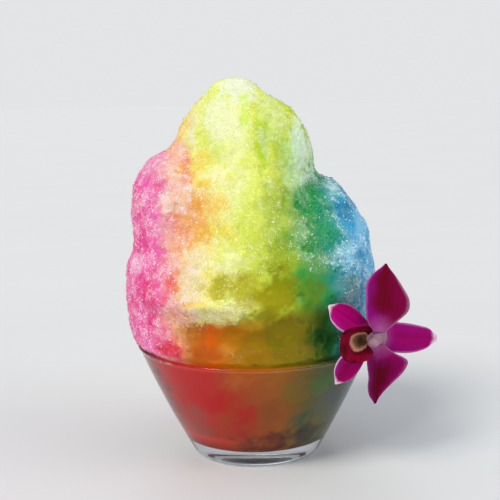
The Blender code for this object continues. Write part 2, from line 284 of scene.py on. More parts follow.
add_floor()
add_sky(light=(0.44, 0.46, 0.50, 1), backdrop=(0.765, 0.778, 0.795, 1))
add_sun("key light", (-0.56, -0.55, 0.85), softness=24, strength=1.85, colour=(1.0, 0.985, 0.95))
add_sun("fill light", (0.90, -0.30, 0.38), softness=40, strength=0.85, colour=(0.97, 0.99, 1.0))
add_sun("rim light", (-0.1, 0.9, 0.6), softness=30, strength=0.5, colour=(0.95, 0.98, 1.0))
print("floor, sky and three soft lamps")


# %% [markdown]
# ## Unevenness
#
# Scooped ice is uneven at every size, from fist to grain. A table of random numbers, read
# smoothly between its cells, gives soft swellings of any width, and works on a whole array of
# places at once, which a loop over points would be too slow for.

# %% A noise for arrays
CELLS = 48
swell_table = np.random.default_rng(7).random((CELLS, CELLS, CELLS)) * 2 - 1


def swell(points, size, octaves=1):
    """Random heights from about -1 to 1 at these places, with bumps about size millimetres wide."""
    total = np.zeros(len(points))
    for octave in range(octaves):
        spot = points / (size * MM) * 2**octave + 17.3 * octave
        cell = np.floor(spot).astype(int)
        part = spot - cell
        part = part * part * (3 - 2 * part)
        for corner in product((0, 1), repeat=3):
            weight = np.prod(np.where(corner, part, 1 - part), axis=1)
            x, y, z = ((cell + corner) % CELLS).T
            total += weight * swell_table[x, y, z] / 2**octave
    return total


def bell(value, centre, width):
    """1 at centre, falling away softly over width on both sides."""
    return np.exp(-(((value - centre) / width) ** 2))


def soft_step(value, start, end):
    """0 before start, 1 after end and a soft step between them."""
    part = np.clip((value - start) / (end - start), 0, 1)
    return part * part * (3 - 2 * part)


print("noise between", round(swell(np.random.default_rng(1).random((999, 3)), 5).min(), 2), "and 1")

# %% [markdown]
# ## The glass bowl
#
# The bowl is pressed glass, so it is one turned shape: a flat foot, a thick base, a flared
# wall and a fire-polished rim, which is as round as a thread. Only its outline is drawn, and a
# loop turns it. More points go where it curves, because glass shows every facet as a glint.

# %% The bowl's sizes
bowl_top_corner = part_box("glass_bowl")[1]
RIM_RADIUS = bowl_top_corner.x
RIM_HEIGHT = bowl_top_corner.z
WALL = 2.4 * MM
WALL_BULGE = 1.0 * MM
CORNER_RADIUS = 32.2 * MM
CORNER_HEIGHT = 2.6 * MM
FOOT_RADIUS = 30.3 * MM
FLOOR_HEIGHT = 9.5 * MM
FLOOR_FILLET = 7.0 * MM
FOOT_ROUNDING = 1.0 * MM
FLOOR_STEPS, FILLET_STEPS, INSIDE_STEPS, OUTSIDE_STEPS, RIM_STEPS = 12, 10, 32, 24, 8
BOWL_SEGMENTS = 160
print(f"bowl {2 * RIM_RADIUS / MM:.1f} mm across and {RIM_HEIGHT / MM:.1f} mm tall")


# %% The bowl's outline
def outer_radius(height):
    """The outside of the bowl's wall at a height."""
    rise = (height - CORNER_HEIGHT) / (RIM_HEIGHT - CORNER_HEIGHT)
    straight = CORNER_RADIUS + (RIM_RADIUS - CORNER_RADIUS) * rise
    return straight + WALL_BULGE * math.sin(math.pi * max(rise, 0))


def arc(centre, radius, start, end, steps):
    """Points (radius, height) along a round stretch, between two angles in degrees."""
    angles = [math.radians(start + (end - start) * i / steps) for i in range(steps + 1)]
    return [(centre[0] + radius * math.cos(a), centre[1] + radius * math.sin(a)) for a in angles]


def inside_outline(spread):
    """From the middle of the floor up to just under the rim, spread into the glass."""
    fillet_height = FLOOR_HEIGHT + FLOOR_FILLET
    fillet_radius = outer_radius(fillet_height) - WALL - FLOOR_FILLET
    points = [(fillet_radius * i / FLOOR_STEPS, FLOOR_HEIGHT - spread) for i in range(FLOOR_STEPS)]
    points += arc((fillet_radius, fillet_height), FLOOR_FILLET + spread, -90, 0, FILLET_STEPS)
    wall_height = RIM_HEIGHT - WALL / 2 - fillet_height
    for i in range(1, INSIDE_STEPS + 1):
        height = fillet_height + wall_height * i / INSIDE_STEPS
        points.append((outer_radius(height) - WALL + spread, height))
    return points


def bowl_outline():
    """Out along the foot, up the wall, over the rim and back down the inside."""
    foot = [(0, 0), (FOOT_RADIUS / 2, 0), (FOOT_RADIUS - 1.2 * MM, 0)]
    foot += arc((FOOT_RADIUS - FOOT_ROUNDING, FOOT_ROUNDING), FOOT_ROUNDING, -70, 0, 4)
    foot += [(FOOT_RADIUS + 0.25 * MM, 1.5 * MM), (CORNER_RADIUS - 0.5 * MM, 1.9 * MM)]
    wall_height = RIM_HEIGHT - WALL / 2 - CORNER_HEIGHT
    side = [CORNER_HEIGHT + wall_height * i / OUTSIDE_STEPS for i in range(OUTSIDE_STEPS + 1)]
    wall = [(outer_radius(height), height) for height in side]
    rim = arc((RIM_RADIUS - WALL / 2, RIM_HEIGHT - WALL / 2), WALL / 2, 15, 165, RIM_STEPS)
    return foot + wall + rim + inside_outline(0)[::-1]


print("the bowl's outline has", len(bowl_outline()), "points")


# %% Turning an outline
def turn_outline(outline, segments):
    """Turns an outline that starts and ends on the axis into a closed round mesh."""
    rings = outline[1:-1]
    verts = [(0, 0, outline[0][1]), (0, 0, outline[-1][1])]
    for radius, height in rings:
        for k in range(segments):
            turn = 2 * math.pi * k / segments
            verts.append((radius * math.cos(turn), radius * math.sin(turn), height))
    faces = []
    for k in range(segments):
        after = (k + 1) % segments
        last = 2 + (len(rings) - 1) * segments
        faces += [(0, 2 + after, 2 + k), (1, last + k, last + after)]
        for ring in range(len(rings) - 1):
            low = 2 + ring * segments
            faces.append((low + k, low + after, low + segments + after, low + segments + k))
    return verts, faces


print("turned round the axis it has", len(turn_outline(bowl_outline(), BOWL_SEGMENTS)[1]), "faces")

# %% [markdown]
# Clear glass needs little: a smooth surface, some refraction and a breath of green.
# Fine waviness from the mould and a few smudges keep it from looking computed. The foot is painted
# a little milky and bluish white, a painted stand-in for the light that the thick foot refracts.
# Lamps shine straight through to the ice, which a renderer would otherwise lose in the refraction.

# %% Glass
GLASS_TINT = (0.955, 0.975, 0.97, 1)
SHADOW_TINT = (0.86, 0.88, 0.87, 1)
REFRACTED_LIGHT_TINT = (0.72, 0.78, 0.86, 1)
REFRACTED_LIGHT_SHARE = 0.45


def make_glass():
    """Clear glass whose foot is painted milky as a stand-in for refracted light, and which lets
    lamps shine through.
    """
    material, shader, where = new_material(
        "clear glass", IOR=1.38, Transmission_Weight=1.0, Base_Color=GLASS_TINT
    )
    smudge = where.noise(16, 3).rise(0.5, 0.75)
    height = where.axes()[2]
    feed(shader, Roughness=smudge * 0.05 + height.rise(3.5, 1.0) * 0.3 + 0.01)
    wave = where.noise(9, 2) + where.stretched((1, 1, 4)).noise(26, 1)
    feed(shader, Normal=bump(wave, 0.25, 0.12))
    tree = material.node_tree
    glass = Wire(tree, shader.outputs[0])
    # a pale bluish layer on the foot: painted light, standing in for light refracted through the
    # thick glass
    refracted_light = where.node("ShaderNodeBsdfDiffuse", {}, {"Color": REFRACTED_LIGHT_TINT})
    foot = height.rise(4.2, 1.2) * REFRACTED_LIGHT_SHARE
    glass_and_refracted_light = where.node("ShaderNodeMixShader", {}, {0: foot, 1: glass, 2: refracted_light})
    lets_through = where.node("ShaderNodeBsdfTransparent", {}, {"Color": SHADOW_TINT})
    in_shadow = where.node("ShaderNodeLightPath", {}, {}, output="Is Shadow Ray")
    both = where.node("ShaderNodeMixShader", {}, {0: in_shadow, 1: glass_and_refracted_light, 2: lets_through})
    feed(tree.nodes["Material Output"], Surface=both)
    return material


bowl_mesh = mesh_from("bowl", *turn_outline(bowl_outline(), BOWL_SEGMENTS))
add_piece("bowl", bowl_mesh, make_glass(), replaces=["glass_bowl"])


# %% [markdown]
# ## What shaved ice does
#
# Five fields describe the heap's surface, and both its shape and its colour use them: where
# syrup has soaked it to slush, where it sinks back over the rim, where drops melted small
# holes, how its lumps stand out, and where dry frost lies on top. All are soft functions of the
# place, in millimetres.

# %% Wet ice and hollows
def wetness(points):
    """1 where the ice is soaked to smooth slush, which is low on the front, and 0 on dry fluff."""
    x, y, z = points.T / MM
    ragged = 3.5 * swell(points, 9, 2)
    waterline = 71 + 0.25 * (x + 30) + 19 * soft_step(x, -10, 4) - 8 * soft_step(x, 22, 36)
    front = soft_step(-y, 18, 34) * soft_step(x, -38, -28) * soft_step(-x, -46, -34)
    flecks = 0.4 * bell(z, 60, 4) * bell(x, -12, 20) * soft_step(swell(points, 3.5, 2), 0.0, 0.5)
    return front * soft_step(waterline + ragged - z, -4, 6) * (1 - flecks)


def undercut(points):
    """1 where the front sinks back, just over the rim."""
    x, y, z = points.T / MM
    front = soft_step(-y, 18, 34) * soft_step(x, -38, -26) * soft_step(-x, -44, -30)
    return front * soft_step(76 + 0.12 * x + 3 * swell(points, 9, 2) - z, -7, 7)


def melt_holes(points):
    """1 inside small hollows that syrup has melted, mostly on the coloured sides."""
    x = points[:, 0] / MM
    tower = soft_step(x, -26, -14) * soft_step(-x, -22, -10)
    return soft_step(swell(points, 5.0, 3), 0.42, 0.8) * (1 - 0.8 * tower)


def crumble(points):
    """Small lumps and hollows, in millimetres."""
    grains = 0.34 * swell(points, 2.6) + 0.22 * swell(points, 1.4)
    lumps = 0.5 * swell(points, 12, 2) + 0.6 * swell(points, 5, 2)
    return lumps + grains * (1 - 0.8 * wetness(points))


front_foot, back_top = np.array([(0, -52, 64), (0, 30, 140)]) * MM
print("wet at the front foot:", wetness(front_foot[None]).round(2))

# %% [markdown]
# Frost is ice that stayed dry, so it is white. It gathers in clumps, on the ledge at the front
# and on the right side, and it is thin on the smooth tower. A short list of bare spots says where
# strong syrup melted it.

# %% Dry frost
BARE_SPOTS = (  # centre's x and z, half width, half height, and how bare the syrup left it
    (27, 124, 9, 9, 0.85),
    (33, 112, 6, 9, 0.85),
    (45, 117, 6, 6, 0.85),
    # frost kept off the olive band, so that its painted shade stays dark
    (-5, 91, 16, 6.5, 0.85),
    (-21, 125, 7, 3, 0.6),
    (-27, 117, 8, 4, 0.45),
    (-38, 61, 8, 3.5, 0.85),
)


def frost(points):
    """How much dry, clear frost lies on the ice where little syrup reached it, from 0 to 1."""
    x, y, z = points.T / MM
    ragged = 0.35 * swell(points, 5, 2)
    bare = np.zeros(len(points))
    for middle, height, half_width, half_height, strength in BARE_SPOTS:
        away = np.hypot((x - middle) / half_width, (z - height) / half_height) + ragged
        bare = np.maximum(bare, strength * soft_step(-away, -1.4, -0.7) * soft_step(-y, 0, 14))
    clumps = soft_step(0.6 * swell(points, 9, 2) + 0.7 * swell(points, 2.8, 2), -0.4, 0.6)
    right = soft_step(x, 26, 40)
    smooth = soft_step(x, -28, -18) * soft_step(-x, -25, -17) * soft_step(z + x, 88, 116)
    front = soft_step(-y, 10, 30)
    slope = 81 + 0.2 * (x + 16)
    ledge = bell(z, slope, 4) * soft_step(x, -40, -30) * soft_step(-x, -4, 8) * front
    amount = (0.12 + 0.65 * clumps + 0.2 * right) * (1 - 0.75 * smooth) + 0.62 * ledge
    amount = np.clip(amount - 0.6 * melt_holes(points), 0, 1) * (1 - bare)
    return amount * (1 - wetness(points) * (1 - ledge))


def left_dry(points, colours):
    """The frost that is left once strong syrup, which has a deep colour, has melted it."""
    depth = 1 - colours.min(axis=1) / np.maximum(colours.max(axis=1), 0.01)
    return frost(points) * (1 - 0.95 * soft_step(depth, 0.9, 0.985))


print("frost high on the back:", frost(back_top[None]).round(2))

# %% [markdown]
# ## The syrups
#
# The syrups were poured side by side, so their colour depends mostly on how far left or right
# a crystal lies: pink, salmon, orange, yellow, lime, green, teal, blue. Each stripe has a pale
# colour, for ice that is only tinted, and a strong one, for ice that is drenched. Noise bends
# the borders and spreads the drenched patches, and a list of pools says where much syrup of one
# colour gathered. The recipe works on arrays of places and its result is stored at the points
# of a mesh, so that loose crystals match the ice under them exactly.

# %% Stripes of syrup
STRIPES = {  # millimetres right of the axis: (tinted, drenched)
    -62: ((244, 108, 180), (236, 46, 130)),
    -50: ((244, 92, 172), (238, 34, 124)),
    -44: ((244, 124, 164), (236, 60, 110)),
    -38: ((246, 166, 134), (240, 110, 84)),
    -31: ((248, 182, 100), (242, 128, 44)),
    -24: ((250, 206, 90), (244, 164, 34)),
    -16: ((246, 233, 100), (242, 208, 50)),
    -6: ((238, 245, 124), (230, 236, 60)),
    6: ((222, 234, 76), (196, 214, 22)),
    15: ((176, 202, 54), (138, 170, 10)),
    23: ((94, 170, 70), (36, 146, 46)),
    31: ((50, 158, 94), (10, 140, 74)),
    38: ((44, 160, 156), (8, 138, 142)),
    46: ((56, 172, 210), (14, 140, 188)),
    62: ((84, 182, 230), (40, 150, 212)),
}


# the dark slush just over the rim: soaked syrup, darkened partly as painted shade under the
# overhang
WET_AND_SHADED_STRIPES = {  # the dark slush just over the rim
    -40: (214, 70, 70),
    -30: (194, 104, 22),
    -19: (210, 98, 8),
    -8: (186, 118, 4),
    4: (158, 120, 6),
    16: (140, 120, 8),
    26: (110, 118, 20),
    34: (40, 92, 36),
    44: (70, 130, 110),
}


def paints(colours):
    """Many colours at once, from 0 to 255 as the eye names them, to linear rows."""
    return np.array([paint(*colour)[:3] for colour in colours])


def striped(lateral, stripes):
    """Rows of colour for sideways places, read from a table of stripes."""
    table = paints(stripes.values())
    return np.stack([np.interp(lateral, list(stripes), table[:, i]) for i in range(3)], axis=1)


print(len(STRIPES), "stripes of syrup, and", len(WET_AND_SHADED_STRIPES), "where it is soaked")

# %% [markdown]
# Poured syrup doesn't keep to its stripe. It gathers in folds, runs down creases and leaves ledges
# pale. Some pools are painted shade instead: the dark olive ones in the hollow over the front ledge
# and under it, and in part the dark ones just over the rim. Each pool is a soft ellipsoid with a
# ragged edge, so one list can be read from the peak down to the rim, and a pool is changed without
# touching its neighbours.

# %% Pools where syrup gathered, and painted shade
STREAK_WHITE = (248, 255, 220)
SYRUP_AND_SHADE_POOLS = {  # name: (centre in millimetres, half sizes, colour, how much it covers)
    "pale peak": ((-6, -12, 176), (9, 40, 8), (244, 250, 226), 0.85),
    "pale brow": ((-13, -20, 163), (9, 14, 13), (246, 251, 204), 0.8),
    "pale waist": ((-8, -26, 150), (7, 14, 14), (244, 250, 184), 0.7),
    "top right lime": ((10, -22, 163), (7, 24, 10), (222, 240, 150), 0.6),
    "lime streak": ((-3, -22, 168), (2.4, 12, 12), (214, 243, 70), 0.85),
    "deep lime streak": ((5, -28, 155), (3.6, 12, 16), (186, 216, 20), 0.9),
    "right green": ((17, -24, 146), (6, 20, 12), (190, 232, 128), 0.7),
    "mint edge": ((23, -14, 149), (6, 26, 15), (216, 244, 208), 0.85),
    "mint foot": ((19, -24, 138), (5, 20, 8), (198, 226, 150), 0.7),
    "yellow spot": ((-24, -27, 144), (4.5, 12, 7), (248, 220, 80), 0.85),
    "pale fold": ((-11, -42, 132), (8, 12, 12), (238, 242, 160), 0.6),
    "cream crease": ((-18, -38, 139), (6, 12, 4), (252, 246, 190), 0.7),
    "shaded fold": ((8, -44, 124), (6, 12, 15), (178, 202, 62), 0.75),
    "lime cheek": ((0, -46, 119), (8, 12, 8), (216, 230, 76), 0.6),
    "pink shoulder": ((-46, -14, 142), (9, 16, 10), (238, 156, 196), 0.6),
    "hot pink": ((-50, -25, 118), (6, 14, 8), (246, 84, 162), 0.75),
    "deep pink": ((-53, -22, 106), (4.5, 14, 6), (230, 44, 138), 0.85),
    "pale pink": ((-54, -24, 97), (5, 12, 4), (252, 204, 226), 0.6),
    "low pink": ((-50, -32, 86), (7, 14, 8), (232, 54, 126), 0.8),
    "salmon edge": ((-40, -34, 115), (4, 12, 10), (248, 180, 190), 0.6),
    "pink foot": ((-44, -40, 67), (6, 12, 6), (232, 76, 120), 0.7),
    "red foot": ((-38, -44, 60.5), (8, 12, 4), (228, 34, 74), 0.9),
    "salmon brow": ((-35, -30, 138), (4, 10, 8), (252, 208, 184), 0.6),
    "salmon edge of the tower": ((-33, -14, 149), (5, 20, 6), (244, 166, 132), 0.75),
    "orange brow": ((-30, -28, 140), (3, 10, 5), (240, 132, 92), 0.8),
    "peach cheek": ((-36, -33, 125), (6, 10, 7), (250, 214, 180), 0.75),
    "orange pit": ((-24, -37, 128), (6.5, 10, 3), (244, 166, 40), 0.9),
    "cream pit": ((-31, -34, 127), (3, 10, 4), (252, 216, 176), 0.6),
    "amber cheek": ((-16, -42, 128), (5, 10, 4), (250, 206, 62), 0.8),
    "orange vein": ((-36, -35, 121), (5, 10, 1.8), (240, 128, 62), 0.8),
    "orange cheek": ((-28, -37, 118), (7, 10, 4), (245, 168, 76), 0.75),
    "peach belly": ((-36, -37, 109), (5, 10, 7), (246, 186, 140), 0.6),
    "orange fold": ((-22, -43, 112), (6, 10, 3.4), (244, 182, 60), 0.8),
    "cream orange": ((-27, -42, 105), (6, 10, 4), (248, 222, 164), 0.6),
    "red spot": ((-38, -44, 93), (2.6, 10, 2.6), (238, 84, 80), 0.8),
    "white cheek": ((-26, -47, 99), (7, 10, 7), (246, 232, 180), 0.75),
    "cream hip": ((-28, -50, 90), (7, 10, 6), (232, 220, 152), 0.75),
    "pale belly": ((-12, -51, 104), (9, 10, 6), (234, 240, 128), 0.7),
    # olive shade, olive band, dark olive, olive shelf and olive belly are painted shade in the
    # hollow over the front ledge and under it
    "olive shade": ((11, -48, 103), (8, 12, 7), (160, 178, 14), 0.7),
    "olive band": ((-5, -55, 91), (16, 12, 6.5), (188, 182, 30), 0.95),
    "dark olive": ((12, -52, 91), (10, 10, 7), (140, 142, 0), 0.9),
    "cream ledge": ((-18, -57, 81), (14, 10, 3.6), (228, 216, 120), 0.85),
    "olive shelf": ((10, -54, 85), (13, 12, 5), (156, 148, 8), 0.9),
    "ledge end": ((-4, -58, 84), (7, 8, 2.6), (206, 196, 90), 0.7),
    "olive belly": ((6, -57, 79), (12, 10, 4), (160, 146, 10), 0.9),
    "pale green": ((21, -40, 114), (5, 12, 7), (146, 188, 106), 0.6),
    "emerald": ((27, -25, 125), (8, 16, 8), (0, 154, 62), 0.97),
    "teal notch": ((33, -20, 121), (5, 14, 6), (10, 146, 104), 0.9),
    "green flank": ((35, -32, 111), (6, 12, 9), (16, 152, 94), 0.85),
    "frosted green": ((28, -46, 100), (6, 12, 6), (104, 156, 62), 0.6),
    "leaf green": ((24, -49, 88), (8, 12, 7), (104, 144, 18), 0.7),
    "pale teal": ((39, -8, 131), (4, 12, 4), (186, 230, 232), 0.6),
    "blue": ((43, -15, 120), (7, 14, 7), (6, 132, 176), 0.9),
    "cyan flank": ((52, -12, 112), (5, 16, 10), (112, 196, 238), 0.7),
    "pale cyan": ((42, -36, 101), (6, 14, 8), (144, 214, 234), 0.6),
    "dull teal": ((42, -38, 87), (7, 14, 8), (98, 176, 172), 0.7),
    # the pools from here to the rim are soaked syrup, darkened partly as painted shade under the
    # overhang
    "orange pool": ((-18, -51, 70), (11, 12, 4.5), (222, 98, 10), 0.95),
    "brown pool": ((-29, -48, 71), (6, 12, 5), (188, 108, 22), 0.75),
    "amber pool": ((-7, -53, 69), (9, 12, 6), (180, 118, 0), 0.85),
    "golden pool": ((4, -52, 65), (9, 12, 6), (152, 118, 4), 0.85),
    "olive pool": ((16, -51, 70), (10, 12, 8), (134, 118, 4), 0.85),
    "golden flecks": ((-2, -53, 74), (5, 12, 2.5), (206, 160, 30), 0.6),
    "olive flecks": ((10, -52, 66), (4, 12, 3), (112, 110, 0), 0.6),
    "ochre flecks": ((-12, -52, 64), (4, 12, 2.5), (206, 140, 40), 0.6),
    # dark green pool: partly syrup and partly the flower's shadow, painted in
    "dark green pool": ((31, -44, 66), (7, 12, 5), (24, 84, 26), 0.95),
    "orange rim": ((-22, -51, 61), (9, 12, 3), (190, 90, 20), 0.85),
    "golden rim": ((-2, -53, 61), (12, 12, 3), (152, 110, 6), 0.8),
    "olive rim": ((19, -50, 61), (9, 12, 4), (130, 112, 18), 0.75),
}


def stain_and_shade(points, colour, pools):
    """Lays ragged pools of syrup and of painted shade over the colours at these places, one after
    another.
    """
    ragged = 0.42 * swell(points, 5, 3) + 0.3 * swell(points, 1.7, 2)
    for centre, half_sizes, tint, cover in pools.values():
        away = np.linalg.norm((points / MM - centre) / half_sizes, axis=1) + ragged
        share = cover * soft_step(-away, -1.35, -0.45)[:, None]
        colour = colour * (1 - share) + paints([tint]) * share
    return colour


def syrup(points):
    """The syrup's colour at each place on the heap."""
    x, z = points.T[::2] / MM
    belly = 3 * bell(z, 112, 13) * soft_step(-x, -4, 20)
    to_left = 17 * soft_step(-x, 4, 20) * soft_step(x, -42, -28)
    brow = soft_step(z, 130, 152) * (to_left - 13 * soft_step(x, 8, 24))
    lateral = x - belly + brow + 4 * swell(points, 26, 2) + 3.5 * swell(points, 7, 3)
    hollow = soft_step(-crumble(points), 0.1, 1.3)
    soaked = (0.6 * soft_step(swell(points, 6, 4), -0.1, 0.6) + 0.4 * hollow)[:, None]
    tinted = striped(lateral, {place: pair[0] for place, pair in STRIPES.items()})
    drenched = striped(lateral, {place: pair[1] for place, pair in STRIPES.items()})
    colour = tinted * (1 - soaked) + drenched * soaked
    # the undercut takes the wet stripes, whose darkness is partly painted shade
    low = undercut(points)[:, None]
    colour = colour * (1 - low) + striped(x + 2 * swell(points, 9, 2), WET_AND_SHADED_STRIPES) * low
    colour = stain_and_shade(points, colour, SYRUP_AND_SHADE_POOLS)
    tall = points * np.array([1.0, 1.0, 0.16])
    streaks = 0.27 * soft_step(swell(tall, 3.5, 2) + 0.4 * swell(points, 2), -0.1, 0.7)
    streaks = (streaks * soft_step(z, 108, 150) * soft_step(x, -30, -20))[:, None]
    return colour * (1 - streaks) + paints([STREAK_WHITE]) * streaks


print(len(SYRUP_AND_SHADE_POOLS), "pools; the front foot's syrup is", syrup(front_foot[None])[0].round(2))

# %% [markdown]
# ## The heap
#
# The solid already has the heap's lobes and hollows, but in flat facets. A voxel remesh gives
# it an even skin of small faces, a few rounds of averaging melt the facets away, and then the
# noise raises folds, lumps and grains on it. The front just over the rim is wet and smooth:
# the syrup ran down there and froze to slush, so the grain fades out and the surface sinks.

# %% An even skin
SKIN_CELL = 0.82 * MM
CUT_HEIGHT = RIM_HEIGHT - 7 * MM


def even_skin():
    """The heap's solid as an even mesh, cut off where the soaked ice in the bowl takes over."""
    copy = bpy.data.objects.new("heap copy", frame["nodes"]["shaved_ice"].data.copy())
    bpy.context.scene.collection.objects.link(copy)
    skin = copy.modifiers.new("even skin", "REMESH")
    skin.mode = "VOXEL"
    skin.voxel_size = SKIN_CELL
    depsgraph = bpy.context.evaluated_depsgraph_get()
    mesh = bpy.data.meshes.new_from_object(copy.evaluated_get(depsgraph))
    bpy.data.objects.remove(copy)
    shell = bmesh.new()
    shell.from_mesh(mesh)
    every = shell.verts[:] + shell.edges[:] + shell.faces[:]
    floor = {"plane_co": (0, 0, CUT_HEIGHT), "plane_no": (0, 0, 1), "clear_inner": True}
    bmesh.ops.bisect_plane(shell, geom=every, **floor)
    bmesh.ops.holes_fill(shell, edges=[e for e in shell.edges if e.is_boundary])
    shell.to_mesh(mesh)
    shell.free()
    return mesh


heap_mesh = even_skin()
print("the even skin has", len(heap_mesh.vertices), "points")


# %% Melting the facets away
SMOOTHING_ROUNDS = 18
KEPT_SHARE = 0.4


def read_vertices(mesh, field="co"):
    """Each point's place, or its normal, as one row of an array."""
    flat = np.empty(len(mesh.vertices) * 3)
    mesh.vertices.foreach_get(field, flat)
    return flat.reshape(-1, 3)


def write_points(mesh, points):
    """Moves a mesh's points to these places."""
    mesh.vertices.foreach_set("co", points.ravel())
    mesh.update()


def averaged(mesh, values, rounds):
    """Each vertex's value blended with its neighbours', over and over."""
    edges = np.empty(len(mesh.edges) * 2, dtype=np.int64)
    mesh.edges.foreach_get("vertices", edges)
    a, b = edges.reshape(-1, 2).T
    count = np.bincount(np.r_[a, b], minlength=len(values))[:, None]
    for _ in range(rounds):
        total = np.zeros_like(values)
        for axis in range(values.shape[1]):
            column = values[:, axis]
            total[:, axis] = np.bincount(np.r_[a, b], np.r_[column[b], column[a]], len(values))
        values = values * KEPT_SHARE + total / count * (1 - KEPT_SHARE)
    return values


heap_points = averaged(heap_mesh, read_vertices(heap_mesh), SMOOTHING_ROUNDS)
write_points(heap_mesh, heap_points)
print("after smoothing the peak is at", round(heap_points[:, 2].max() / MM, 1), "mm")

# %% [markdown]
# Relief moves each point along its normal. The colours are read before the points move, so a
# stripe keeps its place on the heap whatever the grain does to the surface. Just inside the
# rim the relief fades out, because the skin has to stay clear of the glass there.

# %% Folds, lumps and grains
def relief(points):
    """How far the ice stands out, in metres, before its loose crystals."""
    z = points[:, 2] / MM
    tall = points * np.array([1.0, 1.0, 0.3])
    folds = 1.2 * swell(tall, 8, 2) * soft_step(z, 95, 125)
    sunk = 1.1 * melt_holes(points)
    return (folds + crumble(points) - sunk - 1.2 * undercut(points) - 0.3) * MM


def write_numbers(mesh, name, values):
    """Stores one number per point, which a material reads by its name."""
    mesh.attributes.new(name, "FLOAT", "POINT").data.foreach_set("value", values)


def write_colours(mesh, colours):
    """Stores the syrup's colour at each point."""
    rows = np.concatenate([colours, np.ones((len(colours), 1))], axis=1)
    mesh.attributes.new("syrup", "FLOAT_COLOR", "POINT").data.foreach_set("color", rows.ravel())


normals = read_vertices(heap_mesh, "normal")
held = soft_step(heap_points[:, 2], CUT_HEIGHT, RIM_HEIGHT + 1 * MM)[:, None]
write_numbers(heap_mesh, "wet", wetness(heap_points))
heap_colours = syrup(heap_points)
write_colours(heap_mesh, heap_colours)
write_numbers(heap_mesh, "frost", left_dry(heap_points, heap_colours))
heap_points = heap_points + normals * relief(heap_points)[:, None] * held
write_points(heap_mesh, heap_points)
print("relief in millimetres:", (relief(heap_points[::999]) / MM).round(1)[:8])

# %% [markdown]
# The ice itself scatters light under its surface, which a little subsurface glow stands in for.
# Fine grains are a bump here, because they are smaller than the mesh's faces, and wet patches are
# shinier than dry ones and darker, their darkness partly painted shade in the syrup's colours.

# %% The heap's own ice
def read_number(where, name):
    """A number that the mesh stores at each point."""
    return where.node("ShaderNodeAttribute", {"attribute_name": name}, {}, output="Fac")


def read_colour(where):
    """The syrup's colour that the mesh stores at each point."""
    return where.node("ShaderNodeAttribute", {"attribute_name": "syrup"}, {})


def make_heap_ice():
    """Tinted ice that glows a little, with fine grains and dry frost."""
    material, shader, where = new_material(
        "tinted ice",
        Subsurface_Weight=0.4,
        Subsurface_Scale=0.004,
        Subsurface_Radius=(1.0, 0.9, 0.7),
        Specular_IOR_Level=0.12,
    )
    colour = read_colour(where)
    wet, dry_frost = read_number(where, "wet"), read_number(where, "frost")
    grain = where.noise(1.1, 3, 0.7)
    colour = mix(dry_frost * grain.rise(0.35, 0.65) * 0.3, colour, paint(255, 252, 240))
    feed(shader, Base_Color=colour, Roughness=0.62 - wet * 0.3)
    feed(shader, Normal=bump(grain * (1 - wet * 0.7), 0.9, 0.8))
    return material


add_piece("heap", heap_mesh, make_heap_ice())

# %% [markdown]
# ## Soaked ice in the bowl
#
# Meltwater and syrup collect in the bowl, so the ice there is a dark, glassy slush: red on the
# left, amber in the middle, olive and grey-green on the right. Part of its darkness is painted
# shade: the grey sides and the dark low corner on the right. It reaches a hair into the glass, so
# that no layer of air shows between them.

# %% Soaked ice
INTO_GLASS = 0.15 * MM
SOAKED_TOP = RIM_HEIGHT - 1.6 * MM
SOAKED_CROWN = 1.2 * MM
CROWN_STEPS, SOAKED_SEGMENTS = 20, 220
SLUSH_STRIPES = {  # millimetres right of the axis
    -50: (198, 50, 46),
    -36: (202, 30, 26),
    -22: (208, 38, 30),
    -12: (192, 66, 22),
    -2: (186, 90, 18),
    8: (176, 96, 12),
    17: (140, 96, 22),
    26: (104, 96, 30),
    36: (86, 104, 62),
    48: (104, 110, 108),
}
# clear slush at the sides, painted dark grey: painted shade
CLEAR_SHADED_SLUSH = {-30: (98, 66, 60), 30: (66, 70, 74)}
SLUSH_AND_SHADE_POOLS = {  # name: (centre in millimetres, half sizes, colour, how much it covers)
    "red spill": ((-32, 0, 50), (9, 99, 6), (208, 20, 22), 0.8),
    "deep red": ((-20, 0, 37), (9, 99, 8), (206, 6, 10), 0.95),
    "orange top": ((-8, 0, 50), (9, 99, 5), (206, 104, 22), 0.8),
    "brown top": ((8, 0, 47), (8, 99, 8), (184, 108, 10), 0.8),
    "red lump": ((-5, 0, 31), (6, 99, 7), (206, 22, 16), 0.85),
    "brown middle": ((7, 0, 33), (6, 99, 8), (164, 84, 16), 0.8),
    "red orange": ((-8, 0, 21), (8, 99, 5), (196, 50, 28), 0.8),
    "rosy ice": ((-17, 0, 17), (8, 99, 5), (184, 62, 40), 0.6),
    "grey ice": ((-27, 0, 24), (7, 99, 9), (154, 86, 72), 0.6),
    "olive": ((17, 0, 43), (8, 99, 8), (138, 108, 22), 0.8),
    "green": ((30, 0, 46), (8, 99, 6), (78, 124, 28), 0.85),
    "dark green": ((20, 0, 24), (7, 99, 6), (50, 88, 50), 0.85),
    # misty ice and dark corner are painted shade on the bowl's right side and low right
    "misty ice": ((36, 0, 32), (8, 99, 9), (92, 94, 92), 0.8),
    "dark corner": ((20, 0, 17), (10, 99, 7), (44, 38, 32), 0.85),
    "dark foot": ((2, 0, 15), (14, 99, 6), (104, 34, 24), 0.85),
}


def soaked_outline():
    """Up along the glass from the middle of the floor, and back over a low crown."""
    outline = [p for p in inside_outline(INTO_GLASS) if p[1] < SOAKED_TOP]
    edge = outer_radius(SOAKED_TOP) - WALL + INTO_GLASS
    for i in range(CROWN_STEPS + 1):
        t = i / CROWN_STEPS
        crown = SOAKED_CROWN * math.sin(math.pi / 2 * t)
        outline.append((edge * (1 - t), SOAKED_TOP + crown))
    return outline


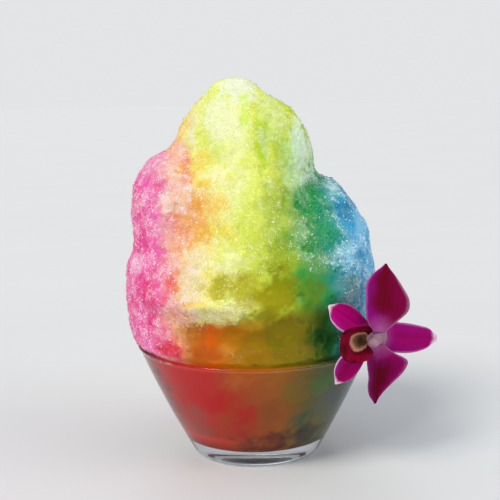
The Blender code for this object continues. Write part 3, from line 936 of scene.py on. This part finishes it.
def slush(points):
    """The colour of the soaked ice at each place in the bowl, clear at its sides and painted dark
    there as shade.
    """
    x, y = points.T[:2] / MM
    lateral = x + 7 * swell(points, 24, 2) + 4 * swell(points, 8, 3)
    colour = stain_and_shade(points, striped(lateral, SLUSH_STRIPES), SLUSH_AND_SHADE_POOLS)
    side = np.abs(x) / np.maximum(np.hypot(x, y), 1) + 0.05 * swell(points, 9, 2)
    # the sides take the clear slush's dark grey, which is painted shade
    clear = 0.85 * soft_step(side + 0.08 * swell(points, 4, 2), 0.78, 0.97)[:, None]
    return colour * (1 - clear) + striped(x, CLEAR_SHADED_SLUSH) * clear


def make_soaked_ice():
    """Dark slush, its darkness partly painted shade, with a few frosty specks."""
    material, shader, where = new_material("soaked ice", Specular_IOR_Level=0.0)
    frosty = where.noise(2.2, 4, 0.7).rise(0.54, 0.8)
    feed(shader, Base_Color=mix(frosty * 0.02, read_colour(where), paint(240, 190, 150)))
    feed(shader, Roughness=0.4 + frosty * 0.3, Normal=bump(where.noise(3, 3), 0.4, 0.4))
    return material


soaked_mesh = mesh_from("soaked", *turn_outline(soaked_outline(), SOAKED_SEGMENTS))
write_colours(soaked_mesh, slush(read_vertices(soaked_mesh)))
add_piece("soaked", soaked_mesh, make_soaked_ice(), replaces=["shaved_ice"])

# %% [markdown]
# ## Loose crystals
#
# What makes shaved ice look like snow is its skin of loose crystals: shards of about a
# millimetre and longer, thin shavings, pointing every way. They are real mesh, scattered over
# the heap at random places and joined into pieces, one of shards and one of shavings for each
# stripe of syrup. Their normals lean towards those of the heap under them, because light passes
# through real crystals and softens their shading. Every crystal has its own small cell in the
# piece's colour map, named OFBake, so that a bake can give each one its own colour.

# %% Scattering
dice = np.random.default_rng(2024)


def read_triangles(mesh):
    """Three point numbers for each triangle of a mesh."""
    mesh.calc_loop_triangles()
    flat = np.empty(len(mesh.loop_triangles) * 3, dtype=np.int64)
    mesh.loop_triangles.foreach_get("vertices", flat)
    return flat.reshape(-1, 3)


def unit(vectors):
    """The same directions, each one long."""
    return vectors / np.maximum(np.linalg.norm(vectors, axis=1, keepdims=True), 1e-9)


def scatter_places(mesh, count):
    """Random places on a mesh, even over its area, with the normals there."""
    points, outward = read_vertices(mesh), read_vertices(mesh, "normal")
    triangles = read_triangles(mesh)
    a, b, c = points[triangles].transpose(1, 0, 2)
    area = np.linalg.norm(np.cross(b - a, c - a), axis=1)
    chosen = dice.choice(len(triangles), count, p=area / area.sum())
    low, high = np.sort(dice.random((count, 2)), axis=1).T
    weights = np.stack([low, high - low, 1 - high], axis=1)[:, :, None]
    where = (points[triangles[chosen]] * weights).sum(axis=1)
    return where, unit((outward[triangles[chosen]] * weights).sum(axis=1))


print(len(read_triangles(heap_mesh)), "triangles to scatter over")


# %% Shards
def flake_frames(way, lean):
    """For each flake its length and width directions. lean is how far flakes lift from the skin."""
    any_way = unit(dice.normal(size=way.shape))
    flat_way = unit(np.cross(way, any_way))
    along = unit(flat_way + way * np.abs(dice.normal(0, lean, len(way)))[:, None])
    across = unit(np.cross(way, along) + way * dice.normal(0, lean, len(way))[:, None])
    return along, unit(across - along * (across * along).sum(axis=1, keepdims=True))


def sizes(middle, spread, count):
    """Random sizes in metres, mostly near the middle one, which is given in millimetres."""
    return np.clip(dice.lognormal(math.log(middle), spread, count), middle / 2, middle * 2.2) * MM


SHARD_LENGTH = 0.8
SHARD_CORNERS = 4


def shards(places, way):
    """Pointed crystals, each a kite of two triangles bent along its middle."""
    count = len(places)
    lengths = sizes(SHARD_LENGTH, 0.35, count)
    widths = lengths * dice.uniform(0.35, 0.6, count)
    lift = dice.uniform(-0.1, 0.25, count) * MM
    along, across = flake_frames(way, 0.4)
    face = np.cross(along, across)
    start = places + way * lift[:, None]
    half = across * widths[:, None] / 2
    tail = start - along * lengths[:, None] * 0.35
    tip = start + along * lengths[:, None] * 0.65
    ridge = face * widths[:, None] * 0.25
    points = np.stack([tail, start - half + ridge, start + half + ridge, tip], axis=1)
    first = np.arange(count)[:, None] * SHARD_CORNERS
    faces = np.concatenate([first + [0, 1, 2], first + [1, 3, 2]], axis=1).reshape(-1, 3)
    return points, faces, unit(way * 0.6 + face * 0.5)


print("shards are about", SHARD_LENGTH, "mm long")

# %% Shavings
SHAVING_LENGTH, SHAVING_WIDTH = 1.6, 0.33
SHAVING_STEPS = 4


def shavings(places, way):
    """Thin curved shavings, each a strip along part of a circle."""
    count = len(places)
    lengths, widths = sizes(SHAVING_LENGTH, 0.35, count), sizes(SHAVING_WIDTH, 0.25, count)
    lift = dice.uniform(0.0, 0.4, count) * MM
    sweep = dice.uniform(0.6, 2.6, count)
    along, across = flake_frames(way, 0.25)
    face = np.cross(along, across)
    radius = lengths / sweep
    lines = []
    for i in range(SHAVING_STEPS):
        turn = sweep * (i / (SHAVING_STEPS - 1) - 0.5)
        taper = 0.4 + 0.6 * math.sin(math.pi * (i + 0.5) / SHAVING_STEPS)
        middle = places + way * lift[:, None] + along * (radius * np.sin(turn))[:, None]
        middle = middle + across * (radius * (np.cos(turn) - 1 + sweep * 0.2))[:, None]
        half = (face * 0.3 + across * 0.8) * (widths * taper / 2)[:, None]
        lines += [middle - half, middle + half]
    points = np.stack(lines, axis=1)
    first = np.arange(count)[:, None] * len(lines)
    strips = [first + [2 * i, 2 * i + 2, 2 * i + 3, 2 * i + 1] for i in range(SHAVING_STEPS - 1)]
    return points, np.concatenate(strips, axis=1).reshape(-1, 4), way


print("shavings are about", SHAVING_LENGTH, "mm long and", SHAVING_WIDTH, "mm wide")


# %% From loose crystals to one mesh
def crystal_mesh(name, points, faces, softened, tone, colours):
    """A mesh of many crystals, each with its own tone and its own cell of the colour map."""
    count, corners = points.shape[:2]
    mesh = bpy.data.meshes.new(name)
    mesh.vertices.add(count * corners)
    mesh.vertices.foreach_set("co", points.ravel())
    mesh.loops.add(faces.size)
    mesh.loops.foreach_set("vertex_index", faces.ravel().astype(np.int32))
    mesh.polygons.add(len(faces))
    starts = np.arange(0, faces.size, faces.shape[1], dtype=np.int32)
    mesh.polygons.foreach_set("loop_start", starts)
    mesh.update(calc_edges=True)
    write_numbers(mesh, "tone", tone.ravel())
    write_colours(mesh, np.repeat(colours, corners, axis=0))
    side = int(np.ceil(np.sqrt(count)))
    cell = np.stack([np.arange(count) % side, np.arange(count) // side], axis=1)
    steps = np.linspace(0.2, 0.8, corners)
    corner = np.stack([0.5 + 0.3 * (-1.0) ** np.arange(corners), steps], axis=1)
    spots = ((cell[:, None, :] + corner[None]) / side).reshape(-1, 2)
    chart = mesh.uv_layers.new(name="OFBake")
    chart.data.foreach_set("uv", spots[faces.ravel()].ravel())
    mesh.shade_smooth()
    mesh.normals_split_custom_set_from_vertices(np.repeat(softened, corners, axis=0).tolist())
    return mesh


print("crystals are joined into meshes that keep each one's tone and colour")

# %% [markdown]
# A crystal's tone runs from drenched to clear. Clear ones are painted white, partly dry frost and
# partly painted glints, and every crystal is clearer at its lifted tip than where it sits in the
# syrup.

# %% Crystal materials
def lets_light_through(piece):
    """Keeps clear crystals from casting shadows and tints on the ice under them."""
    piece.visible_shadow = False
    piece.visible_diffuse = False


def make_crystals(name, white):
    """Crystals from the syrup's colour to white, the clearer the shinier."""
    material, shader, where = new_material(name, Specular_IOR_Level=0.25)
    tone = read_number(where, "tone")
    colour = mix(tone, read_colour(where), paint(*white))
    feed(shader, Base_Color=colour, Roughness=0.6 - tone * 0.3)
    return material


def tones(dry, corners, tip):
    """A tone for every corner of every crystal, from the frost round it and from chance."""
    clear = dry * dice.uniform(0.0, 0.6, len(dry))
    # some crystals painted near white: dry frost, and painted glints
    frost_and_glint = dice.random(len(dry)) < 0.02 + 0.4 * dry
    clear = np.where(frost_and_glint, dice.uniform(0.45, 1.0, len(dry)), clear)
    return np.clip(clear[:, None] + np.linspace(0, tip, corners)[None], 0, 1)


print("tones run from 0, drenched, to 1, clear")

# %% [markdown]
# Crystals lie only on fluff. They leave out the slush, most melted hollows and everything below
# the rim, apart from the ice that hangs over it. Dry ice gets more of them, and its crystals are
# whiter, so the frost shows as a change in the crystals and not only as a paler paint.

# %% Where crystals lie
SHARD_TRIES, SHAVING_TRIES = 300000, 110000
MOST_SHARDS, MOST_SHAVINGS = 60000, 23000
RIM_CLEARANCE = 0.8 * MM
OVERHANG = 6 * MM
KINDS = {  # syrup: (from x, to x, white)
    "pink": (-70, -26, (255, 230, 240)),
    "yellow": (-26, 18, (255, 252, 206)),
    "blue": (18, 70, (236, 250, 255)),
}


def loose_places(count):
    """Places on the fluff over the rim, with the way out of it there."""
    places, way = scatter_places(heap_mesh, count)
    over_rim = np.hypot(places[:, 0], places[:, 1]) > RIM_RADIUS
    above = places[:, 2] > RIM_HEIGHT + RIM_CLEARANCE
    hanging = over_rim & (places[:, 2] > RIM_HEIGHT - OVERHANG)
    unsoaked = dice.random(count) > wetness(places) * 1.04 + 0.35 * melt_holes(places)
    keep = (above | hanging) & unsoaked
    places, way = places[keep], way[keep]
    colours = syrup(places)
    return places, way, colours, left_dry(places, colours)


def varied(colours):
    """The same colours, some a little darker and some brighter, at random; the darker ones are
    partly painted shade for the small shadows that crystals, which cast none, would throw.
    """
    return np.clip(colours * dice.uniform(0.72, 1.16, len(colours))[:, None], 0, 1)


def of_kind(places, chosen, kind, most):
    """The first chosen places that lie in this kind's stripe, up to the most wanted."""
    start, end = KINDS[kind][:2]
    x = places[:, 0] / MM + 5 * swell(places, 12, 2)
    return np.flatnonzero(chosen & (x >= start) & (x < end))[:most]


def add_loose(word, tries, share, most, grow, corners, tip):
    """Scatters shards or shavings over the heap, as one piece for each kind of syrup."""
    places, way, colours, dry = loose_places(tries)
    least, gain = share
    chosen = dice.random(len(places)) < least + gain * dry
    for kind in KINDS:
        name = f"{kind}_{word}"
        inside = of_kind(places, chosen, kind, most)
        shape = grow(places[inside], way[inside])
        tone = tones(dry[inside], corners, tip)
        mesh = crystal_mesh(name, *shape, tone, varied(colours[inside]))
        material = make_crystals(name, KINDS[kind][2])
        lets_light_through(add_piece(name, mesh, material, smooth=False))


add_loose("crystals", SHARD_TRIES, (0.35, 1.1), MOST_SHARDS, shards, SHARD_CORNERS, 0.15)
add_loose("shavings", SHAVING_TRIES, (0.12, 1.2), MOST_SHAVINGS, shavings, 2 * SHAVING_STEPS, 0.1)

# %% [markdown]
# ## The orchid
#
# The flower lies on its side: its top sepal points right, two broad petals point up and down,
# and the two lower sepals reach left, behind the lip. Each tepal, which is a petal or a sepal,
# has a bearing in degrees from the top sepal's way, a length and its half widths. Lift is how far
# in front of the flower's centre it starts, and reflex how far its tip bends back.

# %% Where the flower is
FLOWER_CENTRE = Vector((54.3, -42.5, 65.1)) * MM
FLOWER_YAW = math.radians(23)
TO_TOP = Vector((math.cos(FLOWER_YAW), math.sin(FLOWER_YAW), 0))
TO_LEFT = Vector((0, 0, 1))
TO_FRONT = TO_TOP.cross(TO_LEFT)
HUB_RADIUS = 2.6
GAP = 0.3
TEPALS = {  # tepal: (bearing, length, widths to its left, widths to its right, lift, reflex)
    "top_sepal": (
        -8,
        31.4,
        (5.2, 7.4, 7.2, 6.8, 6.0, 4.8, 1.6),
        (4.6, 6.2, 6.8, 6.8, 6.0, 4.4, 1.2),
        -1.7,
        1.0,
    ),
    "upper_petal": (
        81,
        31.0,
        (3.4, 6.8, 8.3, 9.1, 9.8, 6.7, 0.4),
        (3.4, 8.8, 13.9, 13.6, 10.0, 5.6, 0.6),
        1.1,
        2.0,
    ),
    "lower_petal": (
        -89,
        28.0,
        (3.4, 8.6, 15.6, 13.8, 8.0, 3.0, 0.4),
        (3.4, 5.6, 5.4, 4.9, 5.1, 3.8, 0.8),
        1.1,
        2.5,
    ),
    "upper_sepal": (
        143,
        25.2,
        (1.8, 4.2, 5.4, 6.2, 6.2, 4.8, 0.9),
        (1.8, 4.0, 4.9, 5.6, 5.4, 3.9, 0.3),
        -1.7,
        1.0,
    ),
    "lower_sepal": (
        -135,
        24.6,
        (1.6, 2.6, 3.4, 4.5, 4.8, 3.3, 0.4),
        (1.8, 4.2, 5.8, 6.9, 7.2, 5.4, 0.4),
        -1.7,
        1.0,
    ),
}
print("the flower's centre is at", [round(v / MM, 1) for v in FLOWER_CENTRE], "mm")


# %% Thin closed sheets
def smooth_through(values, t):
    """A smooth curve through evenly spaced values, read at t from 0 to 1."""
    last = len(values) - 1
    k = min(int(t * last), last - 1)
    part = t * last - k
    before, here, there, after = (values[min(max(i, 0), last)] for i in range(k - 1, k + 3))
    bend = before - 2.5 * here + 2 * there - 0.5 * after
    twist = 1.5 * (here - there) + 0.5 * (after - before)
    return here + part * (0.5 * (there - before) + part * (bend + part * twist))


def flower_point(along_top, along_left, along_front):
    """A place given in millimetres along the flower's own three directions."""
    return FLOWER_CENTRE + (TO_TOP * along_top + TO_LEFT * along_left + TO_FRONT * along_front) * MM


def closed_sheet(grid, thickness):
    """Both faces and the rim of a sheet round a grid of middle points, thick as thickness says."""
    grid = np.array(grid)
    rows, columns = grid.shape[:2]
    along = np.gradient(grid, axis=0)
    across = np.gradient(grid, axis=1)
    face = np.cross(along, across)
    face /= np.linalg.norm(face, axis=2, keepdims=True)
    half = face * (np.array(thickness) * MM / 2)[:, :, None]
    verts = np.concatenate([(grid + half).reshape(-1, 3), (grid - half).reshape(-1, 3)])
    count = rows * columns
    faces = []
    for i in range(rows - 1):
        for j in range(columns - 1):
            a = i * columns + j
            quad = (a, a + columns, a + columns + 1, a + 1)
            faces += [quad, tuple(count + k for k in reversed(quad))]
    edge = list(range(columns)) + [i * columns + columns - 1 for i in range(1, rows)]
    edge += [(rows - 1) * columns + j for j in range(columns - 2, -1, -1)]
    edge += [i * columns for i in range(rows - 2, 0, -1)]
    for here, there in zip(edge, edge[1:] + edge[:1]):
        faces.append((here, there, count + there, count + here))
    return verts, faces


def chart_sheet(mesh, rows, columns):
    """Writes how far along and across the sheet each point lies, for the petal's paint."""
    t = np.repeat(np.linspace(0, 1, rows), columns)
    s = np.tile(np.linspace(-1, 1, columns), rows)
    write_numbers(mesh, "along", np.tile(t, 2))
    write_numbers(mesh, "across", np.tile(s, 2))


def outward_faces(mesh):
    """Turns every face of a closed mesh outwards."""
    shell = bmesh.new()
    shell.from_mesh(mesh)
    bmesh.ops.recalc_face_normals(shell, faces=shell.faces)
    shell.to_mesh(mesh)
    shell.free()


print("a curve through 0, 1 and 0 is at", smooth_through((0, 1, 0), 0.25), "a quarter along")

# %% [markdown]
# A tepal cups a little, has a groove along its middle vein and a margin that ripples. It is a
# thin closed sheet with a thick middle and a fine edge. Its outline is a smooth curve through a
# few half widths for each side, because the two sides of a petal are never alike.

# %% The shape of a tepal
PETAL_ROWS = 44
PETAL_COLUMNS = 25
RIPPLE, GROOVE, CUP = 0.35, 0.35, 1.0
EDGE_THICKNESS, EXTRA_THICKNESS = 0.22, 0.5


def tepal_mesh(name, bearing, length, left_widths, right_widths, lift, reflex):
    """One petal or sepal as a thin closed sheet, from the hub out along its bearing."""
    turn = math.radians(bearing)
    grid, thickness = [], []
    for i in range(PETAL_ROWS):
        t = i / (PETAL_ROWS - 1)
        left_half, right_half = smooth_through(left_widths, t), smooth_through(right_widths, t)
        bow = math.sin(math.pi * t)
        row, depth = [], []
        for j in range(PETAL_COLUMNS):
            s = 2 * j / (PETAL_COLUMNS - 1) - 1
            wave = RIPPLE * math.sin(9 * t + 3 * s + bearing) * s * s * bow
            groove = -GROOVE * math.exp(-((s / 0.12) ** 2)) * bow
            along = HUB_RADIUS + GAP + length * t
            across = s * (left_half if s > 0 else right_half)
            front = lift - reflex * t * t + CUP * (s * s - 0.4) * bow + wave + groove
            top_way = along * math.cos(turn) - across * math.sin(turn)
            left_way = along * math.sin(turn) + across * math.cos(turn)
            row.append(flower_point(top_way, left_way, front))
            depth.append(EDGE_THICKNESS + EXTRA_THICKNESS * (1 - s * s) * (1 - 0.6 * t))
        grid.append(row)
        thickness.append(depth)
    mesh = mesh_from(name, *closed_sheet(grid, thickness))
    outward_faces(mesh)
    chart_sheet(mesh, PETAL_ROWS, PETAL_COLUMNS)
    return mesh


print("a tepal is a grid of", PETAL_ROWS, "by", PETAL_COLUMNS, "points on each face")

# %% [markdown]
# Orchid petals are velvet: dark crimson in the field, brighter magenta towards the sides, pale
# where they join, with fine veins and sometimes a white tip. One side is painted brighter than the
# other, partly a painted sheen, and a pale line along an edge is painted light scattering through
# it. The paint follows the petal's own length and width, so all of these bend with it.

# %% Petal paint
EDGE_LIGHT_WHITE = (240, 210, 236)
TIP_WHITE = (244, 214, 236)


def make_petal_paint(
    name, middle, left_side, right_side, base_tint, tip_white, left_edge_light, right_edge_light
):
    """Velvety petal: a dark field, brighter sides, one partly a painted sheen, a pale base, fine
    veins and a pale line of painted edge light.
    """
    material, shader, where = new_material(name, Specular_IOR_Level=0.05)
    along, across = read_number(where, "along"), read_number(where, "across")
    out = across.math("ABSOLUTE", across)
    leftness = across.rise(-0.6, 0.6)
    cloud = where.noise(7, 3)
    # one side painted brighter than the other, partly a painted sheen
    side = mix(leftness, paint(*right_side), paint(*left_side))
    colour = mix((out + (cloud - 0.5) * 0.8).rise(0.2, 1.0), paint(*middle), side)
    colour = mix((along + (cloud - 0.5) * 0.3).rise(0.42, 0.14), colour, side)
    base = (along + out * 0.08 + (cloud - 0.5) * 0.2).rise(0.3, 0.0)
    colour = mix(base, colour, paint(*base_tint))
    veins = across.math("SINE", (across + along * 0.12) * 40 + (cloud - 0.5) * 4).rise(0.4, 1.0)
    colour = mix(veins * 0.12, colour, side)
    tip = (along + out * 0.05).rise(0.9, 1.0) * tip_white
    colour = mix(tip, colour, paint(*TIP_WHITE))
    # a pale line along the edges: painted light that scatters through them
    rim = (out + (where.noise(3, 2) - 0.5) * 0.1).rise(0.84, 1.0)
    margin = leftness * (left_edge_light - right_edge_light) + right_edge_light
    colour = mix(rim * margin, colour, paint(*EDGE_LIGHT_WHITE))
    feed(shader, Base_Color=colour, Roughness=0.6 - veins * 0.1 + cloud * 0.1)
    feed(shader, Normal=bump(veins * 0.4 + where.noise(1.2, 2) * 0.4, 0.4, 0.12))
    return material


# left rim and right rim say how strongly the painted edge light shows on each side
PAINTS = {  # tepal: (middle, left side, right side, base, white at its tip, left rim, right rim)
    "top_sepal": ((156, 0, 98), (168, 6, 126), (146, 0, 106), (182, 74, 156), 0.8, 0.25, 0.25),
    "upper_petal": ((110, 0, 28), (150, 6, 124), (128, 0, 66), (168, 84, 146), 0.0, 0.15, 0.25),
    "lower_petal": ((98, 0, 30), (146, 0, 94), (124, 12, 96), (164, 80, 138), 0.0, 0.15, 0.1),
    "upper_sepal": ((180, 0, 110), (200, 12, 146), (162, 0, 100), (170, 110, 140), 1.0, 0.9, 0.15),
    "lower_sepal": ((144, 0, 80), (156, 0, 98), (176, 22, 136), (150, 80, 120), 1.0, 0.15, 0.9),
}
for tepal, shape in TEPALS.items():
    fine = "fine_" + tepal
    petal_paint = make_petal_paint(fine, *PAINTS[tepal])
    add_piece(fine, tepal_mesh(fine, *shape), petal_paint, replaces=["orchid_" + tepal])


# %% [markdown]
# The lip is the dark scoop that an insect lands on. It wraps round the throat like a collar
# that is open on the column's side, and its margin is ruffled. A grid of rings that grow and
# rise makes it, and the same ring numbers paint the pale band and the shaded throat inside.

# %% The lip
LIP_ROWS, LIP_COLUMNS, LIP_SWEEP = 30, 61, 300
LIP_PLACE, LIP_SHIFT = (-6.3, 0.9), (-6.9, -0.4)  # towards the top and the left, then per depth
LIP_START, LIP_WIDTHS = 0.2, (8.6, 8.4)


def lip_mesh():
    """A crimson scoop round the throat, with its margin ruffled."""
    grid, thickness = [], []
    for i in range(LIP_ROWS):
        depth = i / (LIP_ROWS - 1)
        row = []
        for j in range(LIP_COLUMNS):
            turn = math.pi + math.radians(LIP_SWEEP) * (j / (LIP_COLUMNS - 1) - 0.5)
            side = math.sin(turn) ** 2
            flare = 1 - 0.07 * depth * math.cos(4 * (turn - math.pi))
            ruffle = 0.25 * math.sin(turn * 7) * depth**4
            wide, tall = (LIP_START + width * depth for width in LIP_WIDTHS)
            top = LIP_PLACE[0] + LIP_SHIFT[0] * depth + wide * flare * math.cos(turn)
            left = LIP_PLACE[1] + LIP_SHIFT[1] * depth + tall * flare * math.sin(turn)
            front = 1.4 + (4.2 + 2.4 * side) * depth**1.6 + ruffle
            row.append(flower_point(top, left, front))
        grid.append(row)
        thickness.append([0.75 - 0.45 * depth] * LIP_COLUMNS)
    mesh = mesh_from("fine_lip", *closed_sheet(grid, thickness))
    outward_faces(mesh)
    chart_sheet(mesh, LIP_ROWS, LIP_COLUMNS)
    return mesh


def make_lip_paint():
    """Crimson velvet, with a pale ring, a tan band and a dark spot in the throat."""
    material, shader, where = new_material("lip", Specular_IOR_Level=0.05)
    along, across = read_number(where, "along"), read_number(where, "across")
    cloud = where.noise(4, 3)
    colour = mix(cloud.rise(0.35, 0.7), paint(84, 0, 20), paint(134, 2, 42))
    edge = along + (cloud - 0.5) * 0.25 + (across.math("ABSOLUTE", across) - 0.5) * 0.25
    colour = mix(edge.rise(0.56, 0.46), colour, paint(196, 142, 116))
    colour = mix(edge.rise(0.47, 0.3), colour, paint(112, 80, 54))
    colour = mix(across.bell(0.0, 0.5) * along.bell(0.2, 0.12), colour, paint(58, 34, 20))
    veins = across.math("SINE", across * 50 + cloud * 3).rise(0.3, 1.0)
    colour = mix(veins * 0.15, colour, paint(70, 0, 16))
    feed(shader, Base_Color=colour, Roughness=0.55 + cloud * 0.15)
    feed(shader, Normal=bump(veins * 0.3 + cloud, 0.4, 0.15))
    return material


add_piece("fine_lip", lip_mesh(), make_lip_paint(), replaces=["orchid_lip"])


# %% [markdown]
# The column is the waxy peg in the flower's middle. Behind it a broad hub carries the tepals,
# and a short stalk leads back into the ice. All three are round, so one helper draws rings along
# a route. The hub and the column share one route, whose radius swells where the hub is.

# %% Round pieces along a route
def tube_mesh(name, route, radii, sides):
    """A round closed piece along a route, with a radius in millimetres at each point."""
    verts, faces = [], []
    last = len(route) - 1
    for i, point in enumerate(route):
        way = (route[min(i + 1, last)] - route[max(i - 1, 0)]).normalized()
        side = way.cross(Vector((0, 0, 1))).normalized()
        up = side.cross(way)
        for k in range(sides):
            turn = 2 * math.pi * k / sides
            verts.append(point + (side * math.cos(turn) + up * math.sin(turn)) * radii[i] * MM)
    for i in range(last):
        for k in range(sides):
            after = (k + 1) % sides
            low, high = i * sides, (i + 1) * sides
            faces.append((low + k, low + after, high + after, high + k))
    faces += [tuple(range(sides)), tuple(last * sides + k for k in range(sides))]
    mesh = mesh_from(name, verts, faces)
    outward_faces(mesh)
    return mesh


print("a ring of a route lies across the line between its neighbours")

# %% Column
COLUMN_START, COLUMN_LENGTH, COLUMN_BOW = -2.2, 9.7, -10.5
HUB_SWELL, SHAFT_RADIUS = 6.0, 2.6
COLUMN_STEPS, COLUMN_SIDES = 40, 32


def column_mesh():
    """A broad hub behind the petals, and a waxy column with a rounded cap that leans to the lip."""
    route, radii = [], []
    for i in range(COLUMN_STEPS + 1):
        t = i / COLUMN_STEPS
        bow = COLUMN_BOW * max(0.0, t - 0.3) ** 1.1
        hub = HUB_SWELL * bell(t, 0.17, 0.1)
        shaft = SHAFT_RADIUS - 0.2 * t
        end = math.sqrt(max(0.0, 1 - max(0.0, (t - 0.76) / 0.24) ** 2.4))
        start = math.sqrt(max(0.1, 1 - max(0.0, (0.1 - t) / 0.1) ** 2))
        route.append(flower_point(bow, 0, COLUMN_START + COLUMN_LENGTH * t))
        radii.append(max(0.12, max(hub, shaft) * end * start))
    return tube_mesh("fine_column", route, radii, COLUMN_SIDES)


def make_column_paint():
    """Muted mauve wax that glows a little."""
    material, shader, where = new_material(
        "column", Subsurface_Weight=0.2, Subsurface_Scale=0.002, Specular_IOR_Level=0.15
    )
    cloud = where.noise(3, 3)
    colour = mix(cloud.rise(0.35, 0.65), paint(168, 136, 142), paint(156, 114, 136))
    feed(shader, Base_Color=colour, Roughness=0.4 + cloud * 0.15, Normal=bump(cloud, 0.4, 0.15))
    return material


add_piece("fine_column", column_mesh(), make_column_paint(), replaces=["orchid_column"])

# %% Stalk
STALK_START, STALK_LENGTH, STALK_RADIUS = -2.5, 19.0, 1.15
STALK_STEPS, STALK_SIDES = 24, 20


def stalk_mesh():
    """A thin stalk that bends as it goes back into the ice, with its middle a little thinner."""
    route, radii = [], []
    for i in range(STALK_STEPS + 1):
        t = i / STALK_STEPS
        route.append(flower_point(-1.5 * t * t, 2.5 * t * t, STALK_START - STALK_LENGTH * t))
        radii.append(STALK_RADIUS - 0.25 * math.sin(math.pi * t))
    return tube_mesh("fine_stem", route, radii, STALK_SIDES)


def make_stalk_paint():
    """Green stalk with a brown tinge."""
    material, shader, where = new_material("stalk")
    cloud = where.noise(4, 3)
    colour = mix(cloud.rise(0.35, 0.7), paint(150, 176, 84), paint(132, 96, 90))
    feed(shader, Base_Color=colour, Roughness=0.4 + cloud * 0.2, Normal=bump(cloud, 0.3, 0.2))
    return material


add_piece("fine_stem", stalk_mesh(), make_stalk_paint(), replaces=["orchid_stem"])

# %% [markdown]
